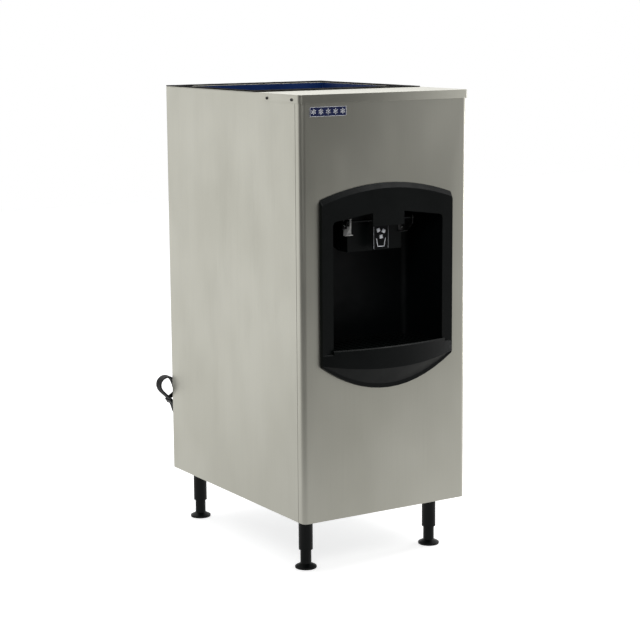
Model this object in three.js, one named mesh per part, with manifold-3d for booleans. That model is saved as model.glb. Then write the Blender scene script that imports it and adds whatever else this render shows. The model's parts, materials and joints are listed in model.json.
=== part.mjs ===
// A floor-standing hotel ice dispensing bin: an insulated open-topped hopper in a stainless
// steel cabinet, with a push lever that opens the chute and starts the feed wheel.
// Millimetres. X is to the right, Y runs from the front to the back, Z is up.
// The origin is on the floor under the middle of the cabinet's overall box.

import * as THREE from 'three';
import { mergeVertices } from 'three/addons/utils/BufferGeometryUtils.js';
import Module from 'manifold-3d';

const wasm = await Module();
wasm.setup();

// Driving dimensions
const overallWidth = 571.5; // over the heads of the trim screws
const overallDepth = 856; // from the fascia's chin to the end of the drain outlet
const overallHeight = 1356.4; // from the floor to the top of the gasket
const legHeight = 158;
const chinBulge = 46; // how far the fascia's chin stands in front of the front panel
const drainReach = 25; // how far the drain outlet stands behind the back panel
const trimHeadHeight = 3.5;
const capOverhang = 3.25;
const recessDepth = 172; // from the front panel's face to the recess's back wall
const driveRoom = 72; // between the recess and the insulation, for the gearbox and motor
const foamFrontThickness = 55; // insulation in front of the hopper

// Shared small sizes
const sheet = 1.2; // cabinet sheet steel
const seat = 0.3; // gap between pieces that rest on each other
const overrun = 5; // how far a cutting shape runs past what it cuts
const weld = 1e-4; // vertices nearer than this are one
const cornerSteps = 6; // in the cabinet's round corners
const pi = Math.PI;

// Cabinet
const capSheet = 1.5;
const bodyWidth = overallWidth - 2 * (trimHeadHeight + capOverhang);
const bodyDepth = overallDepth - chinBulge - drainReach;
const sideX = bodyWidth / 2;
const frontY = -overallDepth / 2 + chinBulge;
const backY = frontY + bodyDepth;
const bodyZ = legHeight;
const topZ = overallHeight;
const gasketThickness = 3;
const rimTopZ = topZ - gasketThickness;
const rimBottomZ = rimTopZ - capSheet;
const panelTopZ = rimBottomZ - seat;
const cornerRadius = 15;
const frontReturnDepth = 29; // how far the front panel wraps round the sides
const frontInnerReturn = 10;
const frontBottomFlange = 48;
const seamGap = 1.2;
const panelFlange = 16;
const sideFrontY = frontY + frontReturnDepth + seamGap;
const sideBackY = backY - sheet - seat;

// Base pan
const panSheet = 1.5;
const panLip = 30;
const panBottomZ = bodyZ + sheet + seat;
const panTopZ = panBottomZ + panSheet;
const panHalfWidth = sideX - sheet - seat;
const panFrontY = sideFrontY + sheet + seat;
const panBackY = sideBackY - sheet - seat;

// Top trim cap
const capHeight = 24;
const capDepth = 233; // from the front panel's face to the cap's rear edge
const capProud = 2; // how far the cap stands in front of the front panel
const capHalfWidth = sideX + capOverhang;
const capBottomZ = rimTopZ - capHeight;
const capBackY = frontY + capDepth;
const trimScrewDepths = [41, 172]; // from the front panel's face
const trimScrewDrop = 14; // below the cap's top
const trimShankRadius = 1.9;
const trimHeadRadius = 4.2;
const trimShankReach = 12;
const screwClearance = 0.4; // gap round a shank

// Hopper
const hopperSideGap = 28; // from the side panel's face to the hopper
const hopperHalfWidth = sideX - hopperSideGap;
const foamFrontDepth = recessDepth + driveRoom; // from the front panel's face
const hopperFrontDepth = foamFrontDepth + foamFrontThickness;
const hopperBackGap = 54; // from the back panel's face to the hopper
const hopperBackDepth = bodyDepth - hopperBackGap;
const rimStrip = 6; // of the flange, left bare by the gasket behind the opening
const gasketBackDepth = hopperBackDepth + rimStrip;
const linerWall = 3;
const foamSideGap = 1.3; // between the foam and the side panels
const foamHoleRadius = 12;
const wheelDrop = 521.4; // from the top of the gasket to the wheel's axis
const wheelZ = topZ - wheelDrop;
const wheelRadius = 182;
const troughClearance = 15; // between the wheel's rim and the trough
const troughLength = 56; // along Y
const ledgeDrop = 140; // from the wheel's axis to the floor beside its trough
const ledgeZ = wheelZ - ledgeDrop;
const slopeTopDrop = 30; // from the wheel's axis to the top of the sloped floor
const slopeTopZ = wheelZ - slopeTopDrop;
const foamFloor = 40; // foam under the trough
const foamSlopeStart = 400; // where the foam's underside starts to climb, from the front
const foamSlopeEnd = hopperBackDepth + 2 * linerWall;
const foamRearThickness = 60;
const foamRearZ = slopeTopZ - foamRearThickness;

// Ice outlet in the hopper's front wall
const outletHalfWidth = 80;
const outletRise = 120; // from the wheel's axis to the outlet's bottom
const outletHeight = 53;
const outletBottomZ = wheelZ + outletRise;
const outletTopZ = outletBottomZ + outletHeight;

// Chute
const chuteWall = 3;
const chuteSideGap = 9; // from the outlet's side to the chute's inner wall
const chuteHalfWidth = outletHalfWidth + chuteSideGap + chuteWall;
const chuteFront = 60; // from the front panel's face to the chute's front
const chuteMouthLength = 50;
const chuteMouth = chuteFront + chuteMouthLength;
const chuteDrop = 48; // from the outlet's bottom to the chute's bottom edge
const chuteBottomZ = outletBottomZ - chuteDrop;
const chuteTopGap = 4;
const chuteTopZ = outletTopZ + chuteTopGap;
const chuteFlange = 10;

// Chute gate
const gateAxisInset = 6; // from the mouth's rear edge
const gateAxisDepth = chuteMouth - gateAxisInset;
const gateAxisRise = 6.5;
const gateAxisZ = chuteBottomZ + gateAxisRise;
const gateSideGap = 3;
const gateHalfWidth = chuteHalfWidth - chuteWall - gateSideGap;
const gateFrontGap = 2;
const gateFront = chuteFront + chuteWall + gateFrontGap;
const gateThickness = 2.5;
const gateBarrelRadius = 3.4;
const gatePinRadius = 2.5;
const pivotClearance = 0.4;
const actuatorRadius = 13; // it turns the gate's right-hand pin
const actuatorLength = 24;
const actuatorPinReach = 10;

// Push lever
const leverStandoff = 30; // from the chute's front to the lever's shaft
const leverDepth = chuteFront - leverStandoff;
const leverDrop = 15; // from the chute's top to the lever's shaft
const leverZ = chuteTopZ - leverDrop;
const leverShaftRadius = 3.5;
const leverHalfWidth = 27;
const leverReach = 85; // from the shaft to the plate's bottom edge
const leverBottomZ = leverZ - leverReach;
const leverPlate = 3;
const leverHubRadius = 7;
const leverSideGap = 0.8; // beside each bracket's ear
const leverCorner = 4;
const leverLabelMargin = 2;
const leverLabelWidth = 50;
const leverLabelHeight = 68;
const leverLabelThickness = 0.8;
const leverCollarRadius = 6;
const leverCollarLength = 4;
const camLength = 10;
const camReach = 13;
const bracketOverhang = 12; // past the chute's side
const bracketHalfSpan = chuteHalfWidth + bracketOverhang; // to the inside of each bracket's ear
const bracketSheet = 1.5;
const bracketWidth = 24;
const bracketInner = bracketHalfSpan - bracketWidth;
const bracketDrop = 42;
const bracketBottomZ = leverZ - bracketDrop;
const bracketTopRise = 11;
const bracketTopZ = leverZ + bracketTopRise;
const bracketNose = 8; // in front of the shaft's axis
const bracketFront = leverDepth - bracketNose;
const bracketLip = 10;
const bracketEarRise = 25;
const springRadius = 4.7;
const springWireRadius = 0.6;
const springCurls = 8;
const springPitch = 2.4;
const springGap = 4;
const springStart = leverHalfWidth + springGap;
const springLeg = 16;
const springHook = 6;

// Lever switch
const switchWidth = 13;
const switchLength = 16;
const switchHeight = 20;
const switchSetback = 12.3; // behind the lever's shaft
const switchFront = leverDepth + switchSetback;
const switchDrop = 21;
const switchBottomZ = leverZ - switchDrop;
const plungerDrop = 11;
const plungerZ = leverZ - plungerDrop;
const plungerRadius = 2.5;
const plungerFront = leverDepth + leverPlate / 2 + seat;
const plungerLength = 15.2;
const plungerBack = plungerFront + plungerLength;
const plungerTravel = 5;

// Fascia
const fasciaInset = 57; // from the side panel's face
const fasciaHalfWidth = sideX - fasciaInset;
const recessFloorZ = 600;
const fasciaLowCornerZ = recessFloorZ;
const fasciaBottomDrop = 79; // of the bottom arc below the corners
const fasciaBottomZ = fasciaLowCornerZ - fasciaBottomDrop;
const fasciaCornerRise = 54; // of the top corners above the chute
const fasciaHighCornerZ = chuteTopZ + fasciaCornerRise;
const fasciaCrown = 38; // of the top arc above the corners
const fasciaTopZ = fasciaHighCornerZ + fasciaCrown;
const fasciaCornerRadius = 9;
const fasciaProud = 12;
const fasciaWall = 3;
const fasciaLip = 13; // drop of the bevelled lip along the top arc
const fasciaEdge = 2.5; // straight edge behind the bevel
const fasciaSideBevel = 1.5;
const fasciaLap = 12; // how far the fascia laps the front panel round the cut-out
const archSteps = 14;
const columnWidth = 37; // of the fascia beside the opening
const openingHalfWidth = fasciaHalfWidth - columnWidth;
const openingSideDrop = 8; // of the opening's upper outer corners below the chute's top
const openingSideZ = chuteTopZ - openingSideDrop;
const openingCrown = 18;
const openingMidZ = openingSideZ + openingCrown; // the top edge beside the middle block
const openingCornerRadius = 12;
const blockHalfWidth = 53;
const blockDrop = 13; // below the lever's shaft
const blockBottomZ = leverZ - blockDrop;
const blockCornerRadius = 4;
const ledgeRise = 37;
const ledgeTopZ = recessFloorZ + ledgeRise; // top of the chin beside the opening
const lipRise = 10;
const lipTopZ = ledgeTopZ + lipRise; // top of the chin's lip across the opening
const chinEndBulge = fasciaProud;
const chinCreaseDrop = 15; // of the crease's middle below the recess's floor
const chinCreaseRise = 6; // of its ends above that floor
const chinCreaseMidZ = recessFloorZ - chinCreaseDrop;
const chinCreaseEndZ = recessFloorZ + chinCreaseRise;
const chinWall = 4;
const chinShelf = 5; // under the drip tray
const chinChamfer = 3;
const chinSteps = 16;
const hollowInset = 35; // from the fascia's side to the room under the shelf
const hollowHalfWidth = fasciaHalfWidth - hollowInset;

// Recess behind the opening
const recessWall = 2.5;
const recessFlangeInset = 1; // from the fascia's outline
const recessCornerRadius = 20;
const recessHeadroom = 13; // above the chute
const recessCeilingZ = chuteTopZ + recessHeadroom;

// Drip tray and grille
const trayHeight = 40;
const trayTopZ = recessFloorZ + trayHeight;
const trayWall = 2.5;
const trayLedge = 3.5;
const trayGap = 0.5;
const grilleDrop = 4; // below the tray's rim
const grilleThickness = 4;
const grilleClearance = 0.7;
const grilleSlots = 15;
const grilleSideBar = 20;
const grillePitch = (2 * (openingHalfWidth - grilleSideBar)) / grilleSlots;
const grilleSlotWidth = 7;
const grilleSlotFront = -8; // from the front panel's face
const grilleRearBar = 20;
const grilleSlotBack = recessDepth - grilleRearBar;
const trayDrainDepth = 120;
const trayDrainRadius = 9;

// Feed wheel and drive
const shaftRadius = 8;
const wheelFrontGap = 4;
const wheelFront = hopperFrontDepth + wheelFrontGap;
const wheelLength = 42;
const wheelHubRadius = 30;
const wheelRimWall = 4;
const wheelVanes = 8;
const vaneThickness = 4;
const hubProud = 3;
const shaftEndGap = 9; // from the hopper's rear wall
const shaftBack = hopperBackDepth - shaftEndGap;
const bearingRadius = 19;
const bearingWallGap = 0.4;
const bearingLength = 19;
const bearingFoot = 5;
const bearingFootHalf = 30;
const agitatorSetback = 117; // behind the wheel's front
const agitatorFront = wheelFront + agitatorSetback;
const agitatorSpacing = 80;
const agitatorBack = agitatorFront + agitatorSpacing;
const agitatorReach = 86;
const agitatorShortReach = 60;
const agitatorRodRadius = 5;
const agitatorHubRadius = 14;
const agitatorHubEnd = 12;
const gearboxGap = 10; // behind the recess
const gearboxFront = recessDepth + gearboxGap;
const gearboxBackGap = 4; // in front of the foam
const gearboxBack = foamFrontDepth - gearboxBackGap;
const gearboxHalfWidth = 42;
const gearboxHalfHeight = 48;
const gearboxCorner = 8;
const gearboxBossRadius = 16;
const shaftInset = 18; // behind the gearbox's front
const shaftFront = gearboxFront + shaftInset;
const motorRadius = (gearboxBack - gearboxFront) / 2;
const motorLength = 150;
const motorCap = 14;
const motorCapRadius = 24;
const motorBracketHalf = 55;
const motorBracketRise = 65;
const motorBracketFoot = 14;

// Drains
const drainRise = 48; // above the body's underside
const drainZ = bodyZ + drainRise;
const drainPipeRadius = 11;
const drainPipeBore = 8;
const drainLead = 24;
const drainFront = trayDrainDepth - drainLead;
const drainPlug = 6;
const hopperDrainDepth = hopperFrontDepth + troughLength / 2;
const hoseWall = 2.5;
const hoseLap = 18;
const stubHeight = 30;
const fittingCollarRadius = 20;
const fittingCollar = 4;
const clipHalfWidth = 17;
const clipDepth = 470;
const clipLength = 14;

// Control cover and stands
const controlLeft = 40;
const controlWidth = 140;
const controlFront = 60;
const controlLength = 120;
const controlHeight = 150;
const controlSheet = 1.5;
const standWidth = 30;
const standSheet = 2;
const standInset = 11;
const standHalfSpan = sideX - standInset; // to the outer side of each upright
const frontStandInset = 18;
const frontStandDepth = foamFrontDepth + frontStandInset;
const rearStandInset = 41; // from the back panel's face
const rearStandDepth = bodyDepth - rearStandInset;

// Legs
const legInsetX = 63; // from the side panel's face to the leg's axis
const legInsetFront = 94;
const legInsetBack = 55;
const legCollarRadius = 28;
const legSleeveRadius = 20.5;
const legCollarHeight = 24;
const legCollarRim = 7;
const legSleeveBottomZ = 55;
const legBoreRadius = 16.4;
const legBoreRoof = 8; // below the body's underside
const legBoreTopZ = bodyZ - legBoreRoof;
const legStudRadius = 6;
const legStudTop = 14;
const legHoleRadius = 6.6;
const footRadius = 31.5;
const footEdge = 6;
const footDome = 14;
const footRim = 1;
const pistonRadius = 16;
const pistonTopGap = 30; // room to screw the foot in
const pistonTopZ = legBoreTopZ - pistonTopGap;

// Badge plate
const badgeWidth = 117;
const badgeHeight = 26;
const badgeThickness = 1.5;
const badgeCorner = 3;
const badgeInset = 87; // from the left side panel's face to the badge's middle
const badgeX = -sideX + badgeInset;
const badgeDrop = 49.4; // below the top
const badgeZ = topZ - badgeDrop;

// Back panel
const louvreRows = 6;
const louvrePitch = 16;
const louvreWidth = 150;
const louvreHeight = 6;
const louvreX = 110;
const louvreBottomZ = 520;
const rockerX = -30;
const rockerZ = 420;
const rockerWidth = 22;
const rockerRadius = 16;
const rockerSideGap = 0.4;
const rockerPinRadius = 1.5;
const rockerAxisSink = 3;
const rockerArcLead = 0.35; // radians
const rockerDish = 3;
const rockerHalfAngle = 0.21; // radians, each way from level
const bezelRim = 4;
const bezelDepth = 22;
const bezelProud = 2.5;
const bezelWall = 2;

// Power cord
const cordRadius = 3.5;
const glandInset = 179; // from the left side panel's face
const glandX = -sideX + glandInset;
const glandZ = 340;
const glandCollarRadius = 12;
const glandRadius = 9;
const glandTipRadius = 5.5;
const glandLength = 24;
const glandCollar = 3;
const glandPlug = 14; // inside the back panel
const hankAcross = 154; // from the gland to the hank's middle
const hankBehind = 40; // behind the back panel
const hankRise = 33; // above the gland
const hankCentre = [glandX - hankAcross, backY + hankBehind, glandZ + hankRise];
const hankLean = 0.57; // radians, its top leans to the left
const hankRun = 108; // straight part of a loop
const hankRadius = 25; // of the folds, to the cord's middle
const hankPitch = 7.8; // between loops, along Y
const hankWaistDraw = 9; // how far the tie draws each side in
const hankTurns = 4; // the last one stops halfway
const climbStartShare = 0.15; // where a climb to the next loop starts along a run
const climbEndShare = 0.85;
const hankRunSteps = 6;
const hankFoldSteps = 6;
const cordSides = 8;
const leadSteps = 14;
const tailSteps = 8;
const cordJoin = 6;
const tieWidth = 14;
const tieThickness = 1.6;
const tieClearance = 1.1;
const anchorBar = 1.7;
const anchorBase = 3;
const anchorHalfWidth = 5;
const anchorBaseHalf = 15;
const plugRadius = 13;
const plugLength = 38;
const plugNeckRadius = 6;
const plugTipRadius = 5;
const plugNeckLength = 14;
const plugShoulderShare = 0.6; // of the body's length
const bladeLength = 16;
const bladeWidth = 6.4;
const bladeThickness = 1.6;
const bladeSpread = 6.35;
const groundRadius = 2.4;
const groundDrop = 8;

// The cord's free stretches, from the gland and to the plug, as hand-placed points
// to the right of the gland, behind the back panel and above the gland.
const cordLead = [
  [0, 31.5, 0], [-3, 43, -1.5], [-12, 53, -4.5], [-26, 58.5, -8.5], [-45, 59, -14.5], [-65, 57.5, -20],
  [-82, 56.3, -19.5], [-95, 55.8, -12],
];
const cordTail = [
  [-137.5, 24.5, -38], [-131, 24.6, -52], [-127.5, 25, -65], [-126.5, 25.5, -78], [-126.4, 25.5, -90],
  [-126.4, 25.5, -98],
];

const depth = (fromFront) => frontY + fromFront;

// Solids and cuts

function toSolid(geometry) {
  const bare = geometry.clone();
  for (const name of Object.keys(bare.attributes)) {
    if (name !== 'position') bare.deleteAttribute(name);
  }
  const merged = mergeVertices(bare, weld);
  return new wasm.Manifold(new wasm.Mesh({
    numProp: 3,
    vertProperties: new Float32Array(merged.attributes.position.array),
    triVerts: new Uint32Array(merged.index.array),
  }));
}

function toGeometry(solid) {
  const mesh = solid.getMesh();
  const geometry = new THREE.BufferGeometry();
  geometry.setAttribute('position', new THREE.BufferAttribute(new Float32Array(mesh.vertProperties), 3));
  geometry.setIndex(new THREE.BufferAttribute(new Uint32Array(mesh.triVerts), 1));
  return geometry;
}

function box(x0, x1, y0, y1, z0, z1) {
  const geometry = new THREE.BoxGeometry(x1 - x0, y1 - y0, z1 - z0);
  geometry.translate((x0 + x1) / 2, (y0 + y1) / 2, (z0 + z1) / 2);
  return toSolid(geometry);
}

function extrude(points, length) {
  const shape = new THREE.Shape(points.map(([u, v]) => new THREE.Vector2(u, v)));
  return new THREE.ExtrudeGeometry(shape, { depth: length, bevelEnabled: false });
}

// An outline of [x, y] points, raised from z0 to z1.
function prismZ(points, z0, z1) {
  const geometry = extrude(points, z1 - z0);
  geometry.translate(0, 0, z0);
  return toSolid(geometry);
}

// An outline of [x, z] points, run from y0 to y1.
function prismY(points, y0, y1) {
  const geometry = extrude(points, y1 - y0);
  geometry.rotateX(pi / 2);
  geometry.translate(0, y1, 0);
  return toSolid(geometry);
}

// An outline of [y, z] points, run from x0 to x1.
function prismX(points, x0, x1) {
  const geometry = extrude(points, x1 - x0);
  geometry.rotateX(pi / 2);
  geometry.rotateZ(pi / 2);
  geometry.translate(x0, 0, 0);
  return toSolid(geometry);
}

function rodX(radius, x0, x1, y, z, sides = 16) {
  const geometry = new THREE.CylinderGeometry(radius, radius, x1 - x0, sides);
  geometry.rotateZ(pi / 2);
  geometry.translate((x0 + x1) / 2, y, z);
  return toSolid(geometry);
}

function rodY(radius, x, y0, y1, z, sides = 16) {
  const geometry = new THREE.CylinderGeometry(radius, radius, y1 - y0, sides);
  geometry.translate(x, (y0 + y1) / 2, z);
  return toSolid(geometry);
}

function rodZ(radius, x, y, z0, z1, sides = 16) {
  const geometry = new THREE.CylinderGeometry(radius, radius, z1 - z0, sides);
  geometry.rotateX(pi / 2);
  geometry.translate(x, y, (z0 + z1) / 2);
  return toSolid(geometry);
}

// A turned shape of [radius, height] points about an upright axis.
function turnedZ(points, x, y, sides = 20) {
  const geometry = new THREE.LatheGeometry(points.map(([r, z]) => new THREE.Vector2(r, z)), sides);
  geometry.rotateX(pi / 2);
  geometry.translate(x, y, 0);
  return toSolid(geometry);
}

// A closed skin over rings of points. The outline gives the rings' shape for the two flat ends.
function loft(rings, outline) {
  const contour = outline.map(([u, v]) => new THREE.Vector2(u, v));
  let ordered = rings;
  if (THREE.ShapeUtils.isClockWise(contour)) {
    contour.reverse();
    ordered = rings.map((ring) => ring.slice().reverse());
  }
  const count = contour.length;
  const faces = [];
  for (let i = 0; i < ordered.length - 1; i += 1) {
    for (let j = 0; j < count; j += 1) {
      const a = i * count + j;
      const b = i * count + ((j + 1) % count);
      faces.push([a, b, b + count], [a, b + count, a + count]);
    }
  }
  const last = (ordered.length - 1) * count;
  for (const [a, b, c] of THREE.ShapeUtils.triangulateShape(contour, [])) {
    faces.push([c, b, a], [last + a, last + b, last + c]);
  }
  const geometry = new THREE.BufferGeometry();
  geometry.setAttribute('position', new THREE.Float32BufferAttribute(ordered.flat(2), 3));
  geometry.setIndex(faces.flat());
  const solid = toSolid(geometry);
  if (solid.volume() > 0) return solid;
  geometry.setIndex(faces.map(([a, b, c]) => [c, b, a]).flat());
  return toSolid(geometry);
}

// A direction that no tube here runs along.
const startNormal = new THREE.Vector3(0.31, 0.42, 0.85);

// A round tube through points.
function tube(points, radius, sides) {
  const centres = points.map((point) => new THREE.Vector3(...point));
  const circle = [];
  for (let j = 0; j < sides; j += 1) {
    const angle = (2 * pi * j) / sides;
    circle.push([Math.cos(angle), Math.sin(angle)]);
  }
  let normal = startNormal.clone();
  const rings = centres.map((centre, i) => {
    const before = centres[Math.max(i - 1, 0)];
    const after = centres[Math.min(i + 1, centres.length - 1)];
    const tangent = after.clone().sub(before).normalize();
    normal = normal.clone().addScaledVector(tangent, -normal.dot(tangent)).normalize();
    const binormal = tangent.clone().cross(normal);
    return circle.map(([c, s]) => centre.clone()
      .addScaledVector(normal, c * radius).addScaledVector(binormal, s * radius).toArray());
  });
  return loft(rings, circle);
}

// An outline of [u, v, radius] corners with each corner that has a radius rounded.
function rounded(corners, steps = 4) {
  const points = [];
  corners.forEach(([u, v, radius], i) => {
    if (!radius) {
      points.push([u, v]);
      return;
    }
    const corner = new THREE.Vector2(u, v);
    const [beforeU, beforeV] = corners.at(i - 1);
    const [afterU, afterV] = corners[(i + 1) % corners.length];
    const toBefore = new THREE.Vector2(beforeU, beforeV).sub(corner).normalize();
    const toAfter = new THREE.Vector2(afterU, afterV).sub(corner).normalize();
    const half = Math.acos(toBefore.dot(toAfter)) / 2;
    const centre = toBefore.clone().add(toAfter).normalize()
      .multiplyScalar(radius / Math.sin(half)).add(corner);
    const start = toBefore.clone().multiplyScalar(radius / Math.tan(half)).add(corner).sub(centre);
    const end = toAfter.clone().multiplyScalar(radius / Math.tan(half)).add(corner).sub(centre);
    const sweep = Math.atan2(start.cross(end), start.dot(end));
    for (let k = 0; k <= steps; k += 1) {
      const angle = start.angle() + (sweep * k) / steps;
      points.push([centre.x + radius * Math.cos(angle), centre.y + radius * Math.sin(angle)]);
    }
  });
  return points;
}

// A box's outline with round corners.
function roundedBox(u0, u1, v0, v1, radius, steps = 4) {
  return rounded([[u0, v0, radius], [u1, v0, radius], [u1, v1, radius], [u0, v1, radius]], steps);
}

function union(...solids) {
  return solids.reduce((sum, solid) => sum.add(solid));
}

function less(solid, ...cuts) {
  return cuts.reduce((left, cut) => left.subtract(cut), solid);
}

// A solid built on the right, or its mirror image for side -1.
function onSide(side, solid) {
  return side > 0 ? solid : solid.mirror([1, 0, 0]);
}

// A solid built about its own origin, turned about X and moved to [x, y, z].
function turnedX(solid, angle, x, y, z) {
  const geometry = toGeometry(solid);
  geometry.rotateX(angle);
  geometry.translate(x, y, z);
  return toSolid(geometry);
}

// Materials

const finishes = {
  steel: { color: 0xb9bab6, roughness: 0.38, metalness: 0.9 },
  darkSteel: { color: 0x8d8f8e, roughness: 0.5, metalness: 0.85 },
  galvanised: { color: 0xa3a7a6, roughness: 0.55, metalness: 0.8 },
  blackPlastic: { color: 0x17191a, roughness: 0.45, metalness: 0 },
  greyPlastic: { color: 0x9aa19f, roughness: 0.5, metalness: 0 },
  recessPlastic: { color: 0x121717, roughness: 0.5, metalness: 0 },
  blueLiner: { color: 0x0a2a69, roughness: 0.4, metalness: 0 },
  foam: { color: 0xe2d9b8, roughness: 0.95, metalness: 0 },
  gasket: { color: 0x161616, roughness: 0.85, metalness: 0 },
  rubber: { color: 0x1b1b1b, roughness: 0.8, metalness: 0 },
  hose: { color: 0xc9ccc6, roughness: 0.6, metalness: 0 },
  motor: { color: 0x2c3034, roughness: 0.45, metalness: 0.3 },
  castIron: { color: 0x50565a, roughness: 0.6, metalness: 0.5 },
  badge: { color: 0x1b2a4d, roughness: 0.3, metalness: 0.2 },
  label: { color: 0x23282b, roughness: 0.35, metalness: 0 },
};

const part = new THREE.Group();

function piece(name, finish, solid) {
  const mesh = new THREE.Mesh(toGeometry(solid), new THREE.MeshStandardMaterial(finishes[finish]));
  mesh.name = name;
  part.add(mesh);
}

// Cabinet panels

// The body's outline in plan from the front to fromFront, with round front corners.
function bodyPlan(grow, fromFront, radius = cornerRadius + grow) {
  const half = sideX + grow;
  return rounded([
    [-half, depth(fromFront)], [-half, depth(-grow), radius],
    [half, depth(-grow), radius], [half, depth(fromFront)],
  ], cornerSteps);
}

function trimScrewHoles(side) {
  const inner = side * (sideX - trimShankReach);
  const outer = side * (capHalfWidth + overrun);
  return trimScrewDepths.map((fromFront) => rodX(
    trimShankRadius + screwClearance, Math.min(inner, outer), Math.max(inner, outer),
    depth(fromFront), rimTopZ - trimScrewDrop, 12,
  ));
}

function sidePanel(side) {
  const shell = box(sideX - panelFlange, sideX, sideFrontY, sideBackY, bodyZ, panelTopZ);
  const inside = box(
    sideX - panelFlange - overrun, sideX - sheet, sideFrontY + sheet, sideBackY - sheet,
    bodyZ + sheet, panelTopZ - sheet,
  );
  return onSide(side, less(shell, inside, ...trimScrewHoles(1)));
}

function basePan() {
  const shell = box(-panHalfWidth, panHalfWidth, panFrontY, panBackY, panBottomZ, panBottomZ + panLip);
  const inside = box(
    -panHalfWidth + panSheet, panHalfWidth - panSheet, panFrontY + panSheet, panBackY - panSheet,
    panTopZ, panTopZ + panLip,
  );
  const holes = legPlaces().map(([x, y]) => (
    rodZ(legHoleRadius, x, y, panBottomZ - overrun, panTopZ + overrun)
  ));
  return less(shell, inside, ...holes);
}

function frontPanel() {
  const outer = prismZ(bodyPlan(0, frontReturnDepth), bodyZ, panelTopZ);
  const inner = prismZ(bodyPlan(-sheet, frontReturnDepth - sheet), bodyZ - overrun, panelTopZ + overrun);
  const throat = box(
    -sideX + frontInnerReturn, sideX - frontInnerReturn,
    depth(frontReturnDepth / 2), depth(frontReturnDepth + overrun), bodyZ - overrun, panelTopZ + overrun,
  );
  const flangeHalf = sideX - panelFlange - seat;
  const flange = box(
    -flangeHalf, flangeHalf, depth(sheet / 2), depth(frontBottomFlange), bodyZ, bodyZ + sheet,
  );
  const cutOut = prismY(arch(fasciaLap), depth(-overrun), depth(2 * sheet));
  return union(less(outer, inner, throat, cutOut), flange);
}

function backPanel() {
  const half = sideX - screwClearance;
  const plate = box(-half, half, backY - sheet, backY, bodyZ, panelTopZ);
  const y0 = backY - sheet - overrun;
  const y1 = backY + overrun;
  const cuts = [
    rodY(glandRadius + screwClearance, glandX, y0, y1, glandZ),
    rodY(drainPipeRadius + screwClearance, 0, y0, y1, drainZ),
    box(
      rockerX - bezelSleeveHalf() - screwClearance, rockerX + bezelSleeveHalf() + screwClearance, y0, y1,
      rockerZ - bezelSleeveHalfHeight() - screwClearance, rockerZ + bezelSleeveHalfHeight() + screwClearance,
    ),
  ];
  for (let i = 0; i < louvreRows; i += 1) {
    const z = louvreBottomZ + i * louvrePitch;
    cuts.push(box(louvreX - louvreWidth / 2, louvreX + louvreWidth / 2, y0, y1, z, z + louvreHeight));
  }
  return less(plate, ...cuts);
}

// Top trim and rim

function topFrontCap() {
  const outer = prismZ(bodyPlan(capOverhang, capDepth, cornerRadius), capBottomZ, rimTopZ)
    .intersect(box(-capHalfWidth, capHalfWidth, depth(-capProud), capBackY, capBottomZ, rimTopZ));
  const inner = prismZ(bodyPlan(seat, capDepth + overrun), capBottomZ - overrun, rimTopZ - capSheet);
  return less(outer, inner, ...trimScrewHoles(1), ...trimScrewHoles(-1));
}

function trimScrew(side, fromFront) {
  const y = depth(fromFront);
  const z = rimTopZ - trimScrewDrop;
  const head = rodX(trimHeadRadius, capHalfWidth + seat, overallWidth / 2, y, z, 16);
  const shankEnd = capHalfWidth + trimHeadHeight / 2;
  const shank = rodX(trimShankRadius, capHalfWidth - trimShankReach, shankEnd, y, z, 12);
  return onSide(side, union(head, shank));
}

function rimFlange() {
  const y0 = capBackY + seat;
  return less(
    box(-sideX, sideX, y0, backY, rimBottomZ, rimTopZ),
    box(
      -hopperHalfWidth, hopperHalfWidth, depth(hopperFrontDepth), depth(hopperBackDepth),
      rimBottomZ - overrun, rimTopZ + overrun,
    ),
  );
}

function rimGasket() {
  const z0 = rimTopZ + seat;
  return less(
    box(-sideX, sideX, capBackY + seat, backY, z0, topZ),
    box(
      -hopperHalfWidth, hopperHalfWidth, depth(hopperFrontDepth), depth(gasketBackDepth),
      z0 - overrun, topZ + overrun,
    ),
  );
}

// Hopper

// The room inside the liner, grown by the same amount on every side but the open top.
function hopperSpace(grow, top) {
  const front = depth(hopperFrontDepth) - grow;
  const back = depth(hopperBackDepth) + grow;
  const stepDepth = hopperFrontDepth + troughLength;
  const slope = (slopeTopZ - ledgeZ) / (hopperBackDepth - stepDepth);
  const drop = grow * Math.hypot(1, slope);
  const well = prismX([
    [front, top], [back, top], [back, slopeTopZ + slope * grow - drop], [depth(stepDepth), ledgeZ - drop],
    [front, ledgeZ - drop],
  ], -hopperHalfWidth - grow, hopperHalfWidth + grow);
  const trough = rodY(wheelRadius + troughClearance + grow, 0, front, depth(stepDepth) + grow, wheelZ, 40);
  return union(well, trough);
}

function outletCut(grow, y0, y1) {
  const half = outletHalfWidth + grow;
  return box(-half, half, y0, y1, outletBottomZ - grow, outletTopZ + grow);
}

function binLiner() {
  const shell = less(hopperSpace(linerWall, rimBottomZ - seat), hopperSpace(0, rimTopZ));
  const y0 = depth(hopperFrontDepth) - linerWall - overrun;
  const y1 = depth(hopperFrontDepth) + overrun;
  const bottomZ = wheelZ - wheelRadius - troughClearance;
  const drainHole = rodZ(
    drainPipeRadius + screwClearance, 0, depth(hopperDrainDepth),
    bottomZ - linerWall - overrun, bottomZ + overrun,
  );
  return less(
    shell, outletCut(0, y0, y1), rodY(shaftRadius + pivotClearance, 0, y0, y1, wheelZ), drainHole,
  );
}

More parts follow.
